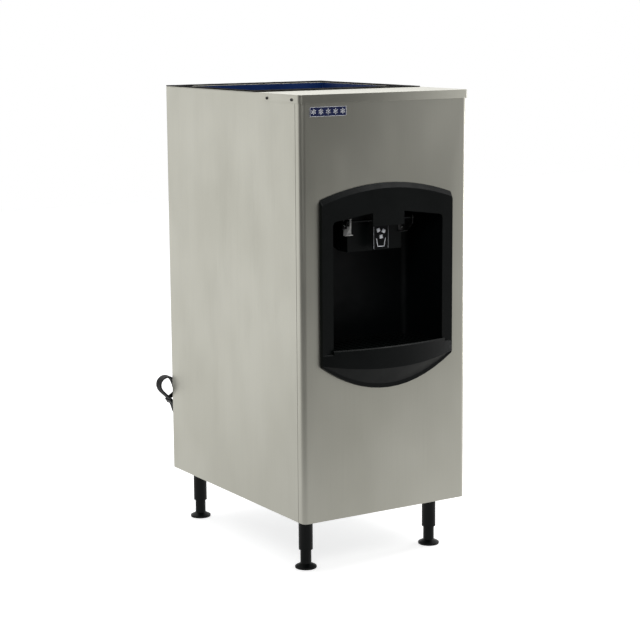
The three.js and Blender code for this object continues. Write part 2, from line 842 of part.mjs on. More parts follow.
function binInsulation() {
  const top = panelTopZ - sheet - seat;
  const front = depth(foamFrontDepth);
  const half = sideX - sheet - foamSideGap;
  const bottomZ = foamBottomZ();
  const block = prismX([
    [front, top], [panBackY, top], [panBackY, foamRearZ], [depth(foamSlopeEnd), foamRearZ],
    [depth(foamSlopeStart), bottomZ], [front, bottomZ],
  ], -half, half);
  const y0 = front - overrun;
  const y1 = depth(hopperFrontDepth) + overrun;
  return less(
    block,
    hopperSpace(linerWall + seat, rimTopZ),
    outletCut(0, y0, y1),
    rodY(foamHoleRadius, 0, y0, y1, wheelZ),
    rodZ(drainPipeRadius + screwClearance, 0, depth(hopperDrainDepth), bottomZ - overrun, ledgeZ),
  );
}

function foamBottomZ() {
  return wheelZ - wheelRadius - troughClearance - foamFloor;
}

// Feed wheel and drive

function driveShaft() {
  return rodY(shaftRadius, 0, depth(shaftFront), depth(shaftBack), wheelZ, 20);
}

function feedWheel() {
  const y0 = depth(wheelFront);
  const y1 = y0 + wheelLength;
  const rim = less(
    rodY(wheelRadius, 0, y0, y1, wheelZ, 48),
    rodY(wheelRadius - wheelRimWall, 0, y0 - overrun, y1 + overrun, wheelZ, 48),
  );
  const vanes = [];
  for (let i = 0; i < wheelVanes / 2; i += 1) {
    const geometry = new THREE.BoxGeometry(2 * wheelRadius - wheelRimWall, wheelLength, vaneThickness);
    geometry.rotateY((2 * pi * i) / wheelVanes);
    geometry.translate(0, (y0 + y1) / 2, wheelZ);
    vanes.push(toSolid(geometry));
  }
  const hub = rodY(wheelHubRadius, 0, y0 - seat, y1 + hubProud, wheelZ, 24);
  const bore = rodY(shaftRadius + seat, 0, y0 - overrun, y1 + hubProud + overrun, wheelZ, 20);
  return less(union(rim, ...vanes, hub), bore);
}

function agitator() {
  const y0 = depth(agitatorFront) - agitatorHubEnd;
  const y1 = depth(agitatorBack) + agitatorHubEnd;
  const hub = rodY(agitatorHubRadius, 0, y0, y1, wheelZ, 20);
  const upright = rodZ(
    agitatorRodRadius, 0, depth(agitatorFront), wheelZ - agitatorReach, wheelZ + agitatorReach, 12,
  );
  const level = rodX(
    agitatorRodRadius, -agitatorShortReach, agitatorShortReach, depth(agitatorBack), wheelZ, 12,
  );
  const bore = rodY(shaftRadius + seat, 0, y0 - overrun, y1 + overrun, wheelZ, 20);
  return less(union(hub, upright, level), bore);
}

function shaftEndBearing() {
  const wall = depth(hopperBackDepth) - bearingWallGap;
  const y0 = wall - bearingLength;
  const housing = union(
    rodY(bearingRadius, 0, y0, wall, wheelZ, 24),
    box(
      -bearingFootHalf, bearingFootHalf, wall - bearingFoot, wall,
      wheelZ - bearingRadius, wheelZ + bearingRadius,
    ),
  );
  const bore = rodY(
    shaftRadius + pivotClearance, 0, y0 - overrun, depth(shaftBack) + pivotClearance, wheelZ, 20,
  );
  return less(housing, bore);
}

function gearbox() {
  const y0 = depth(gearboxFront);
  const y1 = depth(gearboxBack);
  const body = prismY(roundedBox(
    -gearboxHalfWidth, gearboxHalfWidth, wheelZ - gearboxHalfHeight, wheelZ + gearboxHalfHeight,
    gearboxCorner,
  ), y0, y1);
  const boss = rodY(gearboxBossRadius, 0, y1 - overrun, depth(foamFrontDepth) - seat, wheelZ, 24);
  const bore = rodY(
    shaftRadius + pivotClearance, 0, depth(shaftFront) - pivotClearance, depth(foamFrontDepth) + overrun,
    wheelZ, 20,
  );
  return less(union(body, boss), bore);
}

function driveMotor() {
  const top = wheelZ - gearboxHalfHeight - seat;
  const bottom = top - motorLength;
  return turnedZ([
    [0, bottom], [motorCapRadius, bottom], [motorCapRadius, bottom + motorCap],
    [motorRadius, bottom + motorCap], [motorRadius, top], [0, top],
  ], 0, depth((gearboxFront + gearboxBack) / 2), 28);
}

function motorBracket() {
  const y0 = depth(gearboxBack) + seat;
  const y1 = depth(foamFrontDepth) - seat;
  const z0 = panTopZ + seat;
  const plate = box(-motorBracketHalf, motorBracketHalf, y0, y1, z0, wheelZ + motorBracketRise);
  const footBack = depth(foamFrontDepth) + motorBracketFoot;
  const foot = box(-motorBracketHalf, motorBracketHalf, y0, footBack, z0, z0 + y1 - y0);
  return less(
    union(plate, foot),
    rodY(gearboxBossRadius + screwClearance, 0, y0 - overrun, y1 + overrun, wheelZ, 24),
    rodY(drainPipeRadius + screwClearance, 0, y0 - overrun, y1 + overrun, drainZ),
  );
}

// Chute and gate

function iceChute() {
  const back = depth(foamFrontDepth) - seat;
  const slope = (outletBottomZ - chuteBottomZ - chuteWall) / (foamFrontDepth - chuteMouth);
  const drop = chuteWall * Math.hypot(1, slope);
  const length = back - depth(chuteMouth);
  const lipZ = chuteBottomZ + chuteWall;
  const outer = prismX([
    [depth(chuteFront), chuteBottomZ], [depth(chuteFront), chuteTopZ], [back, chuteTopZ],
    [back, lipZ + slope * length - drop], [depth(chuteMouth), chuteBottomZ],
  ], -chuteHalfWidth, chuteHalfWidth);
  const flange = box(
    -chuteHalfWidth - chuteFlange, chuteHalfWidth + chuteFlange, back - chuteWall, back,
    outletBottomZ - chuteFlange - chuteWall, chuteTopZ + chuteFlange,
  );
  const innerFront = depth(chuteFront) + chuteWall;
  const inner = prismX([
    [innerFront, chuteBottomZ - overrun], [innerFront, chuteTopZ - chuteWall],
    [back + overrun, chuteTopZ - chuteWall], [back + overrun, lipZ + slope * (length + overrun)],
    [depth(chuteMouth), lipZ], [depth(chuteMouth), chuteBottomZ - overrun],
  ], -chuteHalfWidth + chuteWall, chuteHalfWidth - chuteWall);
  const pinHole = rodX(
    gatePinRadius + pivotClearance, -chuteHalfWidth - overrun, chuteHalfWidth + overrun,
    depth(gateAxisDepth), gateAxisZ, 12,
  );
  return less(union(outer, flange), inner, pinHole);
}

function chuteGate() {
  const y = depth(gateAxisDepth);
  const barrel = rodX(gateBarrelRadius, -gateHalfWidth, gateHalfWidth, y, gateAxisZ, 12);
  const z0 = gateAxisZ - gateBarrelRadius;
  const flap = box(-gateHalfWidth, gateHalfWidth, depth(gateFront), y, z0, z0 + gateThickness);
  const pin = rodX(gatePinRadius, -chuteHalfWidth, chuteHalfWidth + actuatorPinReach, y, gateAxisZ, 12);
  return union(barrel, flap, pin);
}

function gateActuator() {
  const x0 = chuteHalfWidth + seat;
  const y = depth(gateAxisDepth);
  return less(
    rodX(actuatorRadius, x0, x0 + actuatorLength, y, gateAxisZ, 20),
    rodX(
      gatePinRadius + pivotClearance, x0 - overrun, x0 + actuatorPinReach + pivotClearance, y, gateAxisZ, 12,
    ),
  );
}

// Push lever

function pushLever() {
  const y = depth(leverDepth);
  const camX1 = -bracketHalfSpan - bracketSheet - leverSideGap;
  const camX0 = camX1 - camLength;
  const collarX0 = bracketHalfSpan + bracketSheet + leverSideGap;
  const shaft = rodX(leverShaftRadius, camX0, collarX0 + leverCollarLength, y, leverZ, 12);
  const collar = rodX(leverCollarRadius, collarX0, collarX0 + leverCollarLength, y, leverZ, 12);
  const hub = rodX(leverHubRadius, -leverHalfWidth, leverHalfWidth, y, leverZ, 16);
  const plate = prismY(
    rounded([
      [-leverHalfWidth, leverZ], [-leverHalfWidth, leverBottomZ, leverCorner],
      [leverHalfWidth, leverBottomZ, leverCorner], [leverHalfWidth, leverZ],
    ]),
    y - leverPlate / 2, y + leverPlate / 2,
  );
  const camHub = rodX(leverCollarRadius, camX0, camX1, y, leverZ, 12);
  const cam = box(camX0, camX1, y - leverPlate / 2, y + leverPlate / 2, leverZ - camReach, leverZ);
  return union(shaft, collar, hub, plate, camHub, cam);
}

function leverLabelPlate() {
  const y1 = depth(leverDepth) - leverPlate / 2 - seat;
  const midZ = leverBottomZ + leverLabelMargin + leverLabelHeight / 2;
  return prismY(roundedBox(
    -leverLabelWidth / 2, leverLabelWidth / 2, midZ - leverLabelHeight / 2, midZ + leverLabelHeight / 2,
    leverCorner,
  ), y1 - leverLabelThickness, y1);
}

function leverBracket(side) {
  const back = depth(chuteFront) - seat;
  const front = back - bracketSheet;
  const plate = box(bracketInner, bracketHalfSpan + bracketSheet, front, back, bracketBottomZ, leverZ);
  const lip = box(
    bracketInner, bracketHalfSpan, front - bracketLip, back, bracketBottomZ, bracketBottomZ + bracketSheet,
  );
  const ear = prismX(rounded([
    [depth(bracketFront), bracketTopZ, leverCorner], [back, bracketTopZ], [back, bracketBottomZ],
    [front - bracketLip, bracketBottomZ], [depth(bracketFront), bracketBottomZ + bracketEarRise, leverCorner],
  ]), bracketHalfSpan, bracketHalfSpan + bracketSheet);
  const hole = rodX(
    leverShaftRadius + pivotClearance, bracketHalfSpan - overrun, bracketHalfSpan + bracketSheet + overrun,
    depth(leverDepth), leverZ, 12,
  );
  return onSide(side, less(union(plate, lip, ear), hole));
}

// One leg of the spring lies behind the lever's plate and the other reaches for the chute.
function leverReturnSpring() {
  const y = depth(leverDepth);
  const points = [];
  const hookX = leverHalfWidth - springHook;
  const restY = y + leverPlate / 2 + springWireRadius + seat;
  points.push([hookX, restY, leverZ - springLeg]);
  points.push([leverHalfWidth, restY, leverZ - springLeg]);
  points.push([springStart - springWireRadius, restY, leverZ - springLeg]);
  points.push([springStart, y + springRadius, leverZ - springLeg + springWireRadius]);
  points.push([springStart, y + springRadius, leverZ - springLeg / 2]);
  const stepsPerCurl = 8;
  const steps = springCurls * stepsPerCurl + stepsPerCurl / 4;
  for (let i = 0; i <= steps; i += 1) {
    const angle = (2 * pi * i) / stepsPerCurl;
    const x = springStart + (springPitch * i) / stepsPerCurl;
    points.push([x, y + springRadius * Math.cos(angle), leverZ + springRadius * Math.sin(angle)]);
  }
  const endX = springStart + (springPitch * steps) / stepsPerCurl;
  points.push([endX, y + springRadius, leverZ + springRadius]);
  points.push([endX, depth(chuteFront) - seat - springWireRadius, leverZ + springRadius]);
  return tube(points, springWireRadius, 5);
}

function leverSwitch() {
  const x1 = -bracketHalfSpan - bracketSheet - seat;
  const x0 = x1 - switchWidth;
  const front = depth(switchFront);
  const bore = rodY(
    plungerRadius + pivotClearance, (x0 + x1) / 2, front - overrun, depth(plungerBack) + plungerTravel,
    plungerZ, 12,
  );
  return less(box(x0, x1, front, front + switchLength, switchBottomZ, switchBottomZ + switchHeight), bore);
}

function switchPlunger() {
  const x = -bracketHalfSpan - bracketSheet - seat - switchWidth / 2;
  return rodY(plungerRadius, x, depth(plungerFront), depth(plungerBack), plungerZ, 12);
}

// Fascia, recess and drip tray

// How near x is to the middle of the fascia, as a share: 1 there and 0 at its sides.
function arcShare(x) {
  return 1 - (x / fasciaHalfWidth) ** 2;
}

// The fascia's outline, pulled in by inset and with its top lowered by drop.
function arch(inset, drop = 0) {
  const half = fasciaHalfWidth - inset;
  const corners = [];
  for (let i = 0; i <= archSteps; i += 1) {
    const x = -half + (2 * half * i) / archSteps;
    const z = fasciaLowCornerZ - (fasciaLowCornerZ - fasciaBottomZ) * arcShare(x) + inset;
    corners.push([x, z, i === 0 || i === archSteps ? fasciaCornerRadius : 0]);
  }
  for (let i = 0; i <= archSteps; i += 1) {
    const x = half - (2 * half * i) / archSteps;
    const z = fasciaHighCornerZ + (fasciaTopZ - fasciaHighCornerZ) * arcShare(x) - inset - drop;
    corners.push([x, z, i === 0 || i === archSteps ? fasciaCornerRadius : 0]);
  }
  return rounded(corners);
}

// A solid between arch outlines given as [inset, drop, depth behind the front panel].
function archSolid(stations) {
  const rings = stations.map(([inset, drop, fromFront]) => (
    arch(inset, drop).map(([x, z]) => [x, depth(fromFront), z])
  ));
  return loft(rings, arch(0));
}

function chinBulgeAt(x) {
  return chinEndBulge + (chinBulge - chinEndBulge) * arcShare(x);
}

function chinCreaseAt(x) {
  return chinCreaseEndZ - (chinCreaseEndZ - chinCreaseMidZ) * arcShare(x);
}

function chinBottomAt(x) {
  return fasciaLowCornerZ - (fasciaLowCornerZ - fasciaBottomZ) * arcShare(x);
}

// How far in front of the front panel the chin stands at x and z, below its chamfer.
function chinReachAt(x, z) {
  const share = (z - chinBottomAt(x)) / (chinCreaseAt(x) - chinBottomAt(x));
  return THREE.MathUtils.lerp(fasciaEdge, chinBulgeAt(x), THREE.MathUtils.clamp(share, 0, 1));
}

// A solid across X from -half to half whose section at x is profile(x), as [fromFront, z] points.
function acrossX(half, steps, profile) {
  const rings = [];
  for (let i = 0; i <= steps; i += 1) {
    const x = -half + (2 * half * i) / steps;
    rings.push(profile(x).map(([fromFront, z]) => [x, depth(fromFront), z]));
  }
  return loft(rings, profile(0));
}

function fasciaOpening() {
  return prismY(rounded([
    [-openingHalfWidth, recessFloorZ], [openingHalfWidth, recessFloorZ],
    [openingHalfWidth, openingSideZ, openingCornerRadius],
    [blockHalfWidth, openingMidZ], [blockHalfWidth, blockBottomZ, blockCornerRadius],
    [-blockHalfWidth, blockBottomZ, blockCornerRadius], [-blockHalfWidth, openingMidZ],
    [-openingHalfWidth, openingSideZ, openingCornerRadius],
  ]), depth(-fasciaProud - overrun), depth(overrun));
}

function fascia() {
  const face = archSolid([
    [0, 0, -seat], [0, 0, -fasciaEdge], [fasciaSideBevel, fasciaLip, -fasciaProud],
  ]);
  const chin = acrossX(fasciaHalfWidth - fasciaSideBevel, chinSteps, (x) => [
    [-seat, ledgeTopZ], [-chinBulgeAt(x) + chinChamfer, ledgeTopZ],
    [-chinBulgeAt(x), ledgeTopZ - chinChamfer],
    [-chinBulgeAt(x), chinCreaseAt(x)], [-fasciaEdge, chinBottomAt(x)], [-seat, chinBottomAt(x)],
  ]);
  const lip = acrossX(openingHalfWidth + chinWall, chinSteps, (x) => [
    [-seat, lipTopZ], [-chinBulgeAt(x) + chinChamfer, lipTopZ], [-chinBulgeAt(x), lipTopZ - chinChamfer],
    [-chinBulgeAt(x), ledgeTopZ - 2 * chinChamfer], [-seat, ledgeTopZ - 2 * chinChamfer],
  ]);
  const bevelShare = (fasciaProud - fasciaWall - fasciaEdge) / (fasciaProud - fasciaEdge);
  const pocket = archSolid([
    [fasciaWall, 0, overrun], [fasciaWall, 0, -fasciaEdge],
    [fasciaWall + fasciaSideBevel, fasciaLip * bevelShare, -fasciaProud + fasciaWall],
  ]);
  const trayRoom = acrossX(openingHalfWidth, chinSteps, (x) => [
    [overrun, recessFloorZ], [overrun, lipTopZ + overrun], [-chinBulgeAt(x) + chinWall, lipTopZ + overrun],
    [-chinBulgeAt(x) + chinWall, recessFloorZ],
  ]);
  const shelfZ = recessFloorZ - chinShelf;
  const hollow = acrossX(hollowHalfWidth, chinSteps, (x) => {
    const bendZ = Math.min(chinCreaseAt(x), shelfZ - seat);
    const lowZ = chinBottomAt(x) + 2 * chinWall;
    return [
      [overrun, shelfZ], [chinWall - chinReachAt(x, shelfZ), shelfZ],
      [chinWall - chinReachAt(x, bendZ), bendZ], [-fasciaEdge, lowZ], [overrun, lowZ],
    ];
  });
  return less(union(face, chin, lip), pocket, trayRoom, hollow, fasciaOpening());
}

function recessPlan(grow, front) {
  const half = openingHalfWidth + grow;
  return rounded([
    [-half, front], [half, front],
    [half, depth(recessDepth) + grow, recessCornerRadius + grow],
    [-half, depth(recessDepth) + grow, recessCornerRadius + grow],
  ]);
}

function recessLiner() {
  const front = depth(-fasciaProud + fasciaWall + seat);
  const z0 = recessFloorZ - recessWall;
  const shell = prismZ(recessPlan(recessWall, front), z0, recessCeilingZ + recessWall);
  const flange = prismY(arch(recessFlangeInset), depth(sheet + seat), depth(sheet + seat + recessWall));
  const spigot = rodZ(drainPipeRadius, 0, depth(trayDrainDepth), z0 - stubHeight, z0 + recessWall / 2);
  const inside = prismZ(recessPlan(0, front - overrun), recessFloorZ, recessCeilingZ);
  const bore = rodZ(
    drainPipeBore, 0, depth(trayDrainDepth), z0 - stubHeight - overrun, recessFloorZ + overrun,
  );
  const half = chuteHalfWidth + screwClearance;
  const slope = (outletBottomZ - chuteBottomZ - chuteWall) / (foamFrontDepth - chuteMouth);
  const chuteFloor = chuteBottomZ + slope * (recessDepth - chuteMouth) - chuteWall;
  const window = box(
    -half, half, depth(recessDepth) - overrun, depth(recessDepth) + recessWall + overrun,
    chuteFloor, chuteTopZ + screwClearance,
  );
  return less(union(shell, flange, spigot), inside, bore, window);
}

// The drip tray's outline in plan, pulled in by inset, with the chin's curve at its front.
function trayPlan(inset) {
  const half = openingHalfWidth - trayGap - inset;
  const corners = [];
  for (let i = 0; i <= chinSteps; i += 1) {
    const x = -half + (2 * half * i) / chinSteps;
    corners.push([x, depth(-chinBulgeAt(x) + chinWall + trayGap + inset)]);
  }
  const back = depth(recessDepth) - trayGap - inset;
  const radius = recessCornerRadius - inset;
  corners.push([half, back, radius], [-half, back, radius]);
  return rounded(corners);
}

function grilleBottomZ() {
  return trayTopZ - grilleDrop - grilleThickness;
}

function dripTray() {
  const z0 = recessFloorZ + seat;
  return less(
    prismZ(trayPlan(0), z0, trayTopZ),
    prismZ(trayPlan(trayWall + trayLedge), z0 + trayWall, trayTopZ + overrun),
    prismZ(trayPlan(trayWall), grilleBottomZ() - seat, trayTopZ + overrun),
    rodZ(trayDrainRadius, 0, depth(trayDrainDepth), z0 - overrun, z0 + trayWall + overrun),
  );
}

function dripGrille() {
  const z0 = grilleBottomZ();
  const slots = [];
  for (let i = 0; i < grilleSlots; i += 1) {
    const x = (i - (grilleSlots - 1) / 2) * grillePitch;
    slots.push(box(
      x - grilleSlotWidth / 2, x + grilleSlotWidth / 2, depth(grilleSlotFront), depth(grilleSlotBack),
      z0 - overrun, z0 + grilleThickness + overrun,
    ));
  }
  return less(prismZ(trayPlan(trayWall + grilleClearance), z0, z0 + grilleThickness), ...slots);
}

function badgePlate() {
  return prismY(roundedBox(
    badgeX - badgeWidth / 2, badgeX + badgeWidth / 2, badgeZ - badgeHeight / 2, badgeZ + badgeHeight / 2,
    badgeCorner,
  ), depth(-seat - badgeThickness), depth(-seat));
}

// Drains

function drainManifold() {
  const y0 = depth(drainFront);
  const y1 = backY + drainReach;
  const pipe = rodY(drainPipeRadius, 0, y0, y1, drainZ);
  const bore = rodY(drainPipeBore, 0, y0 + drainPlug, y1 + overrun, drainZ);
  const depths = [trayDrainDepth, hopperDrainDepth];
  const stubs = depths.map((fromFront) => (
    rodZ(drainPipeRadius, 0, depth(fromFront), drainZ, drainZ + stubHeight)
  ));
  const stubBores = depths.map((fromFront) => (
    rodZ(drainPipeBore, 0, depth(fromFront), drainZ, drainZ + stubHeight + overrun)
  ));
  return less(union(pipe, ...stubs), bore, ...stubBores);
}

function drainHose(fromFront, spigotBottomZ) {
  const z0 = drainZ + stubHeight - hoseLap;
  const z1 = spigotBottomZ + hoseLap;
  const inner = drainPipeRadius + seat;
  return less(
    rodZ(inner + hoseWall, 0, depth(fromFront), z0, z1, 20),
    rodZ(inner, 0, depth(fromFront), z0 - overrun, z1 + overrun, 20),
  );
}

function hopperSpigotZ() {
  return foamBottomZ() - stubHeight;
}

function hopperDrainFitting() {
  const y = depth(hopperDrainDepth);
  const top = wheelZ - wheelRadius - troughClearance - linerWall / 2;
  const collarTop = foamBottomZ() - seat;
  return less(
    union(
      rodZ(drainPipeRadius, 0, y, hopperSpigotZ(), top),
      rodZ(fittingCollarRadius, 0, y, collarTop - fittingCollar, collarTop, 6),
    ),
    rodZ(drainPipeBore, 0, y, hopperSpigotZ() - overrun, top + overrun),
  );
}

function drainClip() {
  const y0 = depth(clipDepth);
  return less(
    box(-clipHalfWidth, clipHalfWidth, y0, y0 + clipLength, panTopZ + seat, drainZ + clipHalfWidth),
    rodY(drainPipeRadius + screwClearance, 0, y0 - overrun, y0 + clipLength + overrun, drainZ),
  );
}

// Stands, control cover and legs

function hopperStand(fromFront, topZ1) {
  const y0 = depth(fromFront);
  const y1 = y0 + standWidth;
  const z0 = panTopZ + seat;
  const inner = standHalfSpan - standSheet;
  const between = standHalfSpan - standWidth;
  return less(
    box(-standHalfSpan, standHalfSpan, y0, y1, z0, topZ1),
    box(-inner, inner, y0 + standSheet, y1 + overrun, z0 - overrun, topZ1 - standSheet),
    box(-between, between, y0 - overrun, y1, z0 - overrun, topZ1 - standWidth),
  );
}

function controlCover() {
  const z0 = panTopZ + seat;
  const right = controlLeft + controlWidth;
  const front = depth(controlFront);
  const back = front + controlLength;
  return less(
    box(controlLeft, right, front, back, z0, z0 + controlHeight),
    box(
      controlLeft + controlSheet, right - controlSheet, front + controlSheet, back - controlSheet,
      z0 - overrun, z0 + controlHeight - controlSheet,
    ),
  );
}

function legPlaces() {
  const x = sideX - legInsetX;
  const front = depth(legInsetFront);
  const back = backY - legInsetBack;
  return [[-x, front], [x, front], [-x, back], [x, back]];
}

function leg([x, y]) {
  const top = panBottomZ - seat;
  const taperZ = top - legCollarHeight;
  return turnedZ([
    [0, legBoreTopZ], [legBoreRadius, legBoreTopZ], [legBoreRadius, legSleeveBottomZ],
    [legSleeveRadius, legSleeveBottomZ], [legSleeveRadius, taperZ], [legCollarRadius, top - legCollarRim],
    [legCollarRadius, top], [legStudRadius, top], [legStudRadius, panTopZ + legStudTop],
    [0, panTopZ + legStudTop],
  ], x, y);
}

function foot([x, y]) {
  return turnedZ([
    [0, 0], [footRadius - footRim, 0], [footRadius, footRim], [footRadius, footEdge],
    [pistonRadius, footDome], [pistonRadius, pistonTopZ], [0, pistonTopZ],
  ], x, y);
}

// Power switch

function bezelSleeveHalf() {
  return rockerWidth / 2 + rockerSideGap + bezelWall;
}

function bezelSleeveHalfHeight() {
  return rockerRadius + rockerSideGap + bezelWall;
}

function rockerBezel() {
  const half = bezelSleeveHalf();
  const halfHeight = bezelSleeveHalfHeight();
  const back = backY - bezelDepth;
  const rim = prismY(roundedBox(
    rockerX - half - bezelRim, rockerX + half + bezelRim,
    rockerZ - halfHeight - bezelRim, rockerZ + halfHeight + bezelRim, bezelRim,
  ), backY + seat, backY + bezelProud);
  const sleeve = box(
    rockerX - half, rockerX + half, back, backY + bezelProud, rockerZ - halfHeight, rockerZ + halfHeight,
  );
  const inside = box(
    rockerX - half + bezelWall, rockerX + half - bezelWall, back + bezelWall, backY + bezelProud + overrun,
    rockerZ - halfHeight + bezelWall, rockerZ + halfHeight - bezelWall,
  );
  const pinHole = rodX(
    rockerPinRadius + pivotClearance, rockerX - half + bezelWall / 4, rockerX + half - bezelWall / 4,
    rockerAxisY(), rockerZ, 12,
  );
  return less(union(rim, sleeve), inside, pinHole);
}

function rockerAxisY() {
  return backY - rockerAxisSink;
}

function powerRocker() {
  const points = [];
  const start = pi / 2 - rockerArcLead;
  const steps = 14;
  for (let i = 0; i <= steps; i += 1) {
    const angle = start + ((2 * pi - 2 * start) * i) / steps;
    points.push([rockerRadius * Math.cos(angle), rockerRadius * Math.sin(angle)]);
  }
  points.push([rockerDish, 0]);
  const body = prismX(points, -rockerWidth / 2, rockerWidth / 2);
  const pinHalf = rockerWidth / 2 + rockerSideGap + bezelWall / 2;
  const pin = rodX(rockerPinRadius, -pinHalf, pinHalf, 0, 0, 12);
  return turnedX(union(body, pin), -rockerHalfAngle, rockerX, rockerAxisY(), rockerZ);
}

// Power cord

// A place in the hank: across it, up it and along Y from its middle.
function hankPoint(across, up, y) {
  const [x0, y0, z0] = hankCentre;
  const c = Math.cos(hankLean);
  const s = Math.sin(hankLean);
  return [x0 + across * c - up * s, y0 + y, z0 + across * s + up * c];
}

// Loops of the hank from the lower end of its right side to the lower end of its left side.
function hankRoute() {
  const points = [];
  const half = hankRun / 2;
  const layerY = (layer) => ((hankTurns - 1) / 2 - layer) * hankPitch - hankPitch / 2;
  const drawn = (up) => hankRadius - hankWaistDraw * Math.cos((pi * up) / hankRun) ** 2;
  for (let turn = 0; turn < hankTurns; turn += 1) {
    for (let i = 0; i < hankRunSteps; i += 1) {
      const up = -half + (hankRun * i) / hankRunSteps;
      const climb = THREE.MathUtils.smoothstep(i / hankRunSteps, climbStartShare, climbEndShare);
      points.push(hankPoint(drawn(up), up, layerY(turn - 1 + climb)));
    }
    for (let i = 0; i < hankFoldSteps; i += 1) {
      const angle = (pi * i) / hankFoldSteps;
      const up = half + hankRadius * Math.sin(angle);
      points.push(hankPoint(hankRadius * Math.cos(angle), up, layerY(turn)));
    }
    for (let i = 0; i < hankRunSteps; i += 1) {
      const up = half - (hankRun * i) / hankRunSteps;
      points.push(hankPoint(-drawn(up), up, layerY(turn)));
    }
    if (turn === hankTurns - 1) {
      points.push(hankPoint(-hankRadius, -half, layerY(turn)));
    } else {
      for (let i = 0; i < hankFoldSteps; i += 1) {
        const angle = pi + (pi * i) / hankFoldSteps;
        const up = hankRadius * Math.sin(angle) - half;
        points.push(hankPoint(hankRadius * Math.cos(angle), up, layerY(turn)));
      }
    }
  }
  return points;
}

// A smooth line of evenly spaced points through hand-placed ones.
function smooth(points, steps) {
  const places = points.map((point) => new THREE.Vector3(...point));
  const curve = new THREE.CatmullRomCurve3(places, false, 'centripetal');
  return curve.getSpacedPoints(steps).map((point) => point.toArray());
}

function cordStart() {
  return [glandX, backY + glandLength + seat, glandZ];
}

function plugTop() {
  const [x, y, z] = byGland(cordTail.at(-1));
  return [x, y, z - seat];
}

// A place given to the right of the gland, behind the back panel and above the gland.
function byGland([across, behind, up]) {
  return [glandX + across, backY + behind, glandZ + up];
}

function cordRoute() {
  const hank = hankRoute();
  const lead = smooth([cordStart(), ...cordLead.map(byGland), hank[0], hank[1]], leadSteps);
  const tail = smooth([hank.at(-2), hank.at(-1), ...cordTail.map(byGland)], tailSteps);
  const [joinX, joinY, joinZ] = hank[0];
  const leadEnd = lead.filter(([x, y, z]) => (
    Math.hypot(x - joinX, y - joinY, z - joinZ) > cordJoin && x > joinX - cordRadius
  ));
  const tailStart = tail.filter(([, , z]) => z < hank.at(-1)[2] - cordJoin);
  return [...leadEnd, ...hank, ...tailStart];
}

// The least gap between stretches of a cord that lie apart along it, and its length.
function leastGap(points) {
  const finePerPoint = 6;
  const apart = 6 * cordRadius;
  let least = Infinity;
  let along = 0;
  const reach = points.map((point, i) => {
    if (i > 0) along += new THREE.Vector3(...point).distanceTo(new THREE.Vector3(...points[i - 1]));
    return along;
  });
  const fine = smooth(points, finePerPoint * points.length);
  const step = reach.at(-1) / fine.length;
  for (let i = 0; i < fine.length; i += 1) {
    for (let j = i + Math.ceil(apart / step); j < fine.length; j += 1) {
      const gap = Math.hypot(fine[i][0] - fine[j][0], fine[i][1] - fine[j][1], fine[i][2] - fine[j][2]);
      least = Math.min(least, gap - 2 * cordRadius);
    }
  }
  return [least, reach.at(-1)];
}

function powerCord() {
  const route = cordRoute();
  const [gap, length] = leastGap(route);
  console.log(`cord: least gap to itself ${gap.toFixed(2)} mm, length ${length.toFixed(0)} mm`);
  return tube(route, cordRadius, cordSides);
}

function cordGland() {
  const y = backY + seat;
  const geometry = new THREE.LatheGeometry([
    [0, -glandPlug], [glandRadius, -glandPlug], [glandRadius, 0], [glandCollarRadius, 0],
    [glandCollarRadius, glandCollar], [glandRadius, glandCollar], [glandTipRadius, glandLength - seat],
    [0, glandLength - seat],
  ].map(([r, h]) => new THREE.Vector2(r, h)), 16);
  geometry.translate(glandX, y, glandZ);
  return toSolid(geometry);
}

// Half the hank's thickness, to the cord's surface.
function hankHalfY() {
  return (hankTurns * hankPitch) / 2 + cordRadius;
}

// Places a solid built with X across the hank, Z up it and its middle at the origin.
function inHank(solid) {
  const geometry = toGeometry(solid);
  geometry.rotateY(-hankLean);
  geometry.translate(...hankCentre);
  return toSolid(geometry);
}

function tieInnerFrontY() {
  return -hankHalfY() - seat - anchorBar - seat;
}

function cordTie() {
  const half = hankRadius - hankWaistDraw + cordRadius + tieClearance;
  const y0 = tieInnerFrontY();
  const y1 = hankHalfY() + tieClearance;
  const radius = cordRadius;
  return inHank(less(
    prismZ(
      roundedBox(
        -half - tieThickness, half + tieThickness, y0 - tieThickness, y1 + tieThickness,
        radius + tieThickness,
      ),
      -tieWidth / 2, tieWidth / 2,
    ),
    prismZ(roundedBox(-half, half, y0, y1, radius), -tieWidth / 2 - overrun, tieWidth / 2 + overrun),
  ));
}

// A staple on the back panel whose bar the tie passes behind, so that the tie hangs on it.
function cordAnchor() {
  const panelY = backY + seat - hankCentre[1];
  const legInner = tieWidth / 2 + 2 * seat;
  const legOuter = legInner + anchorBar;
  const barY = tieInnerFrontY() + seat;
  const baseY = panelY + anchorBase;
  const gapHalf = anchorHalfWidth + overrun;
  const staple = less(
    box(-anchorHalfWidth, anchorHalfWidth, panelY, barY + anchorBar, -legOuter, legOuter),
    box(-gapHalf, gapHalf, baseY, barY, -legInner, legInner),
  );
  const base = box(-anchorBaseHalf, anchorBaseHalf, panelY, baseY, -anchorBaseHalf, anchorBaseHalf);
  return inHank(union(staple, base));
}

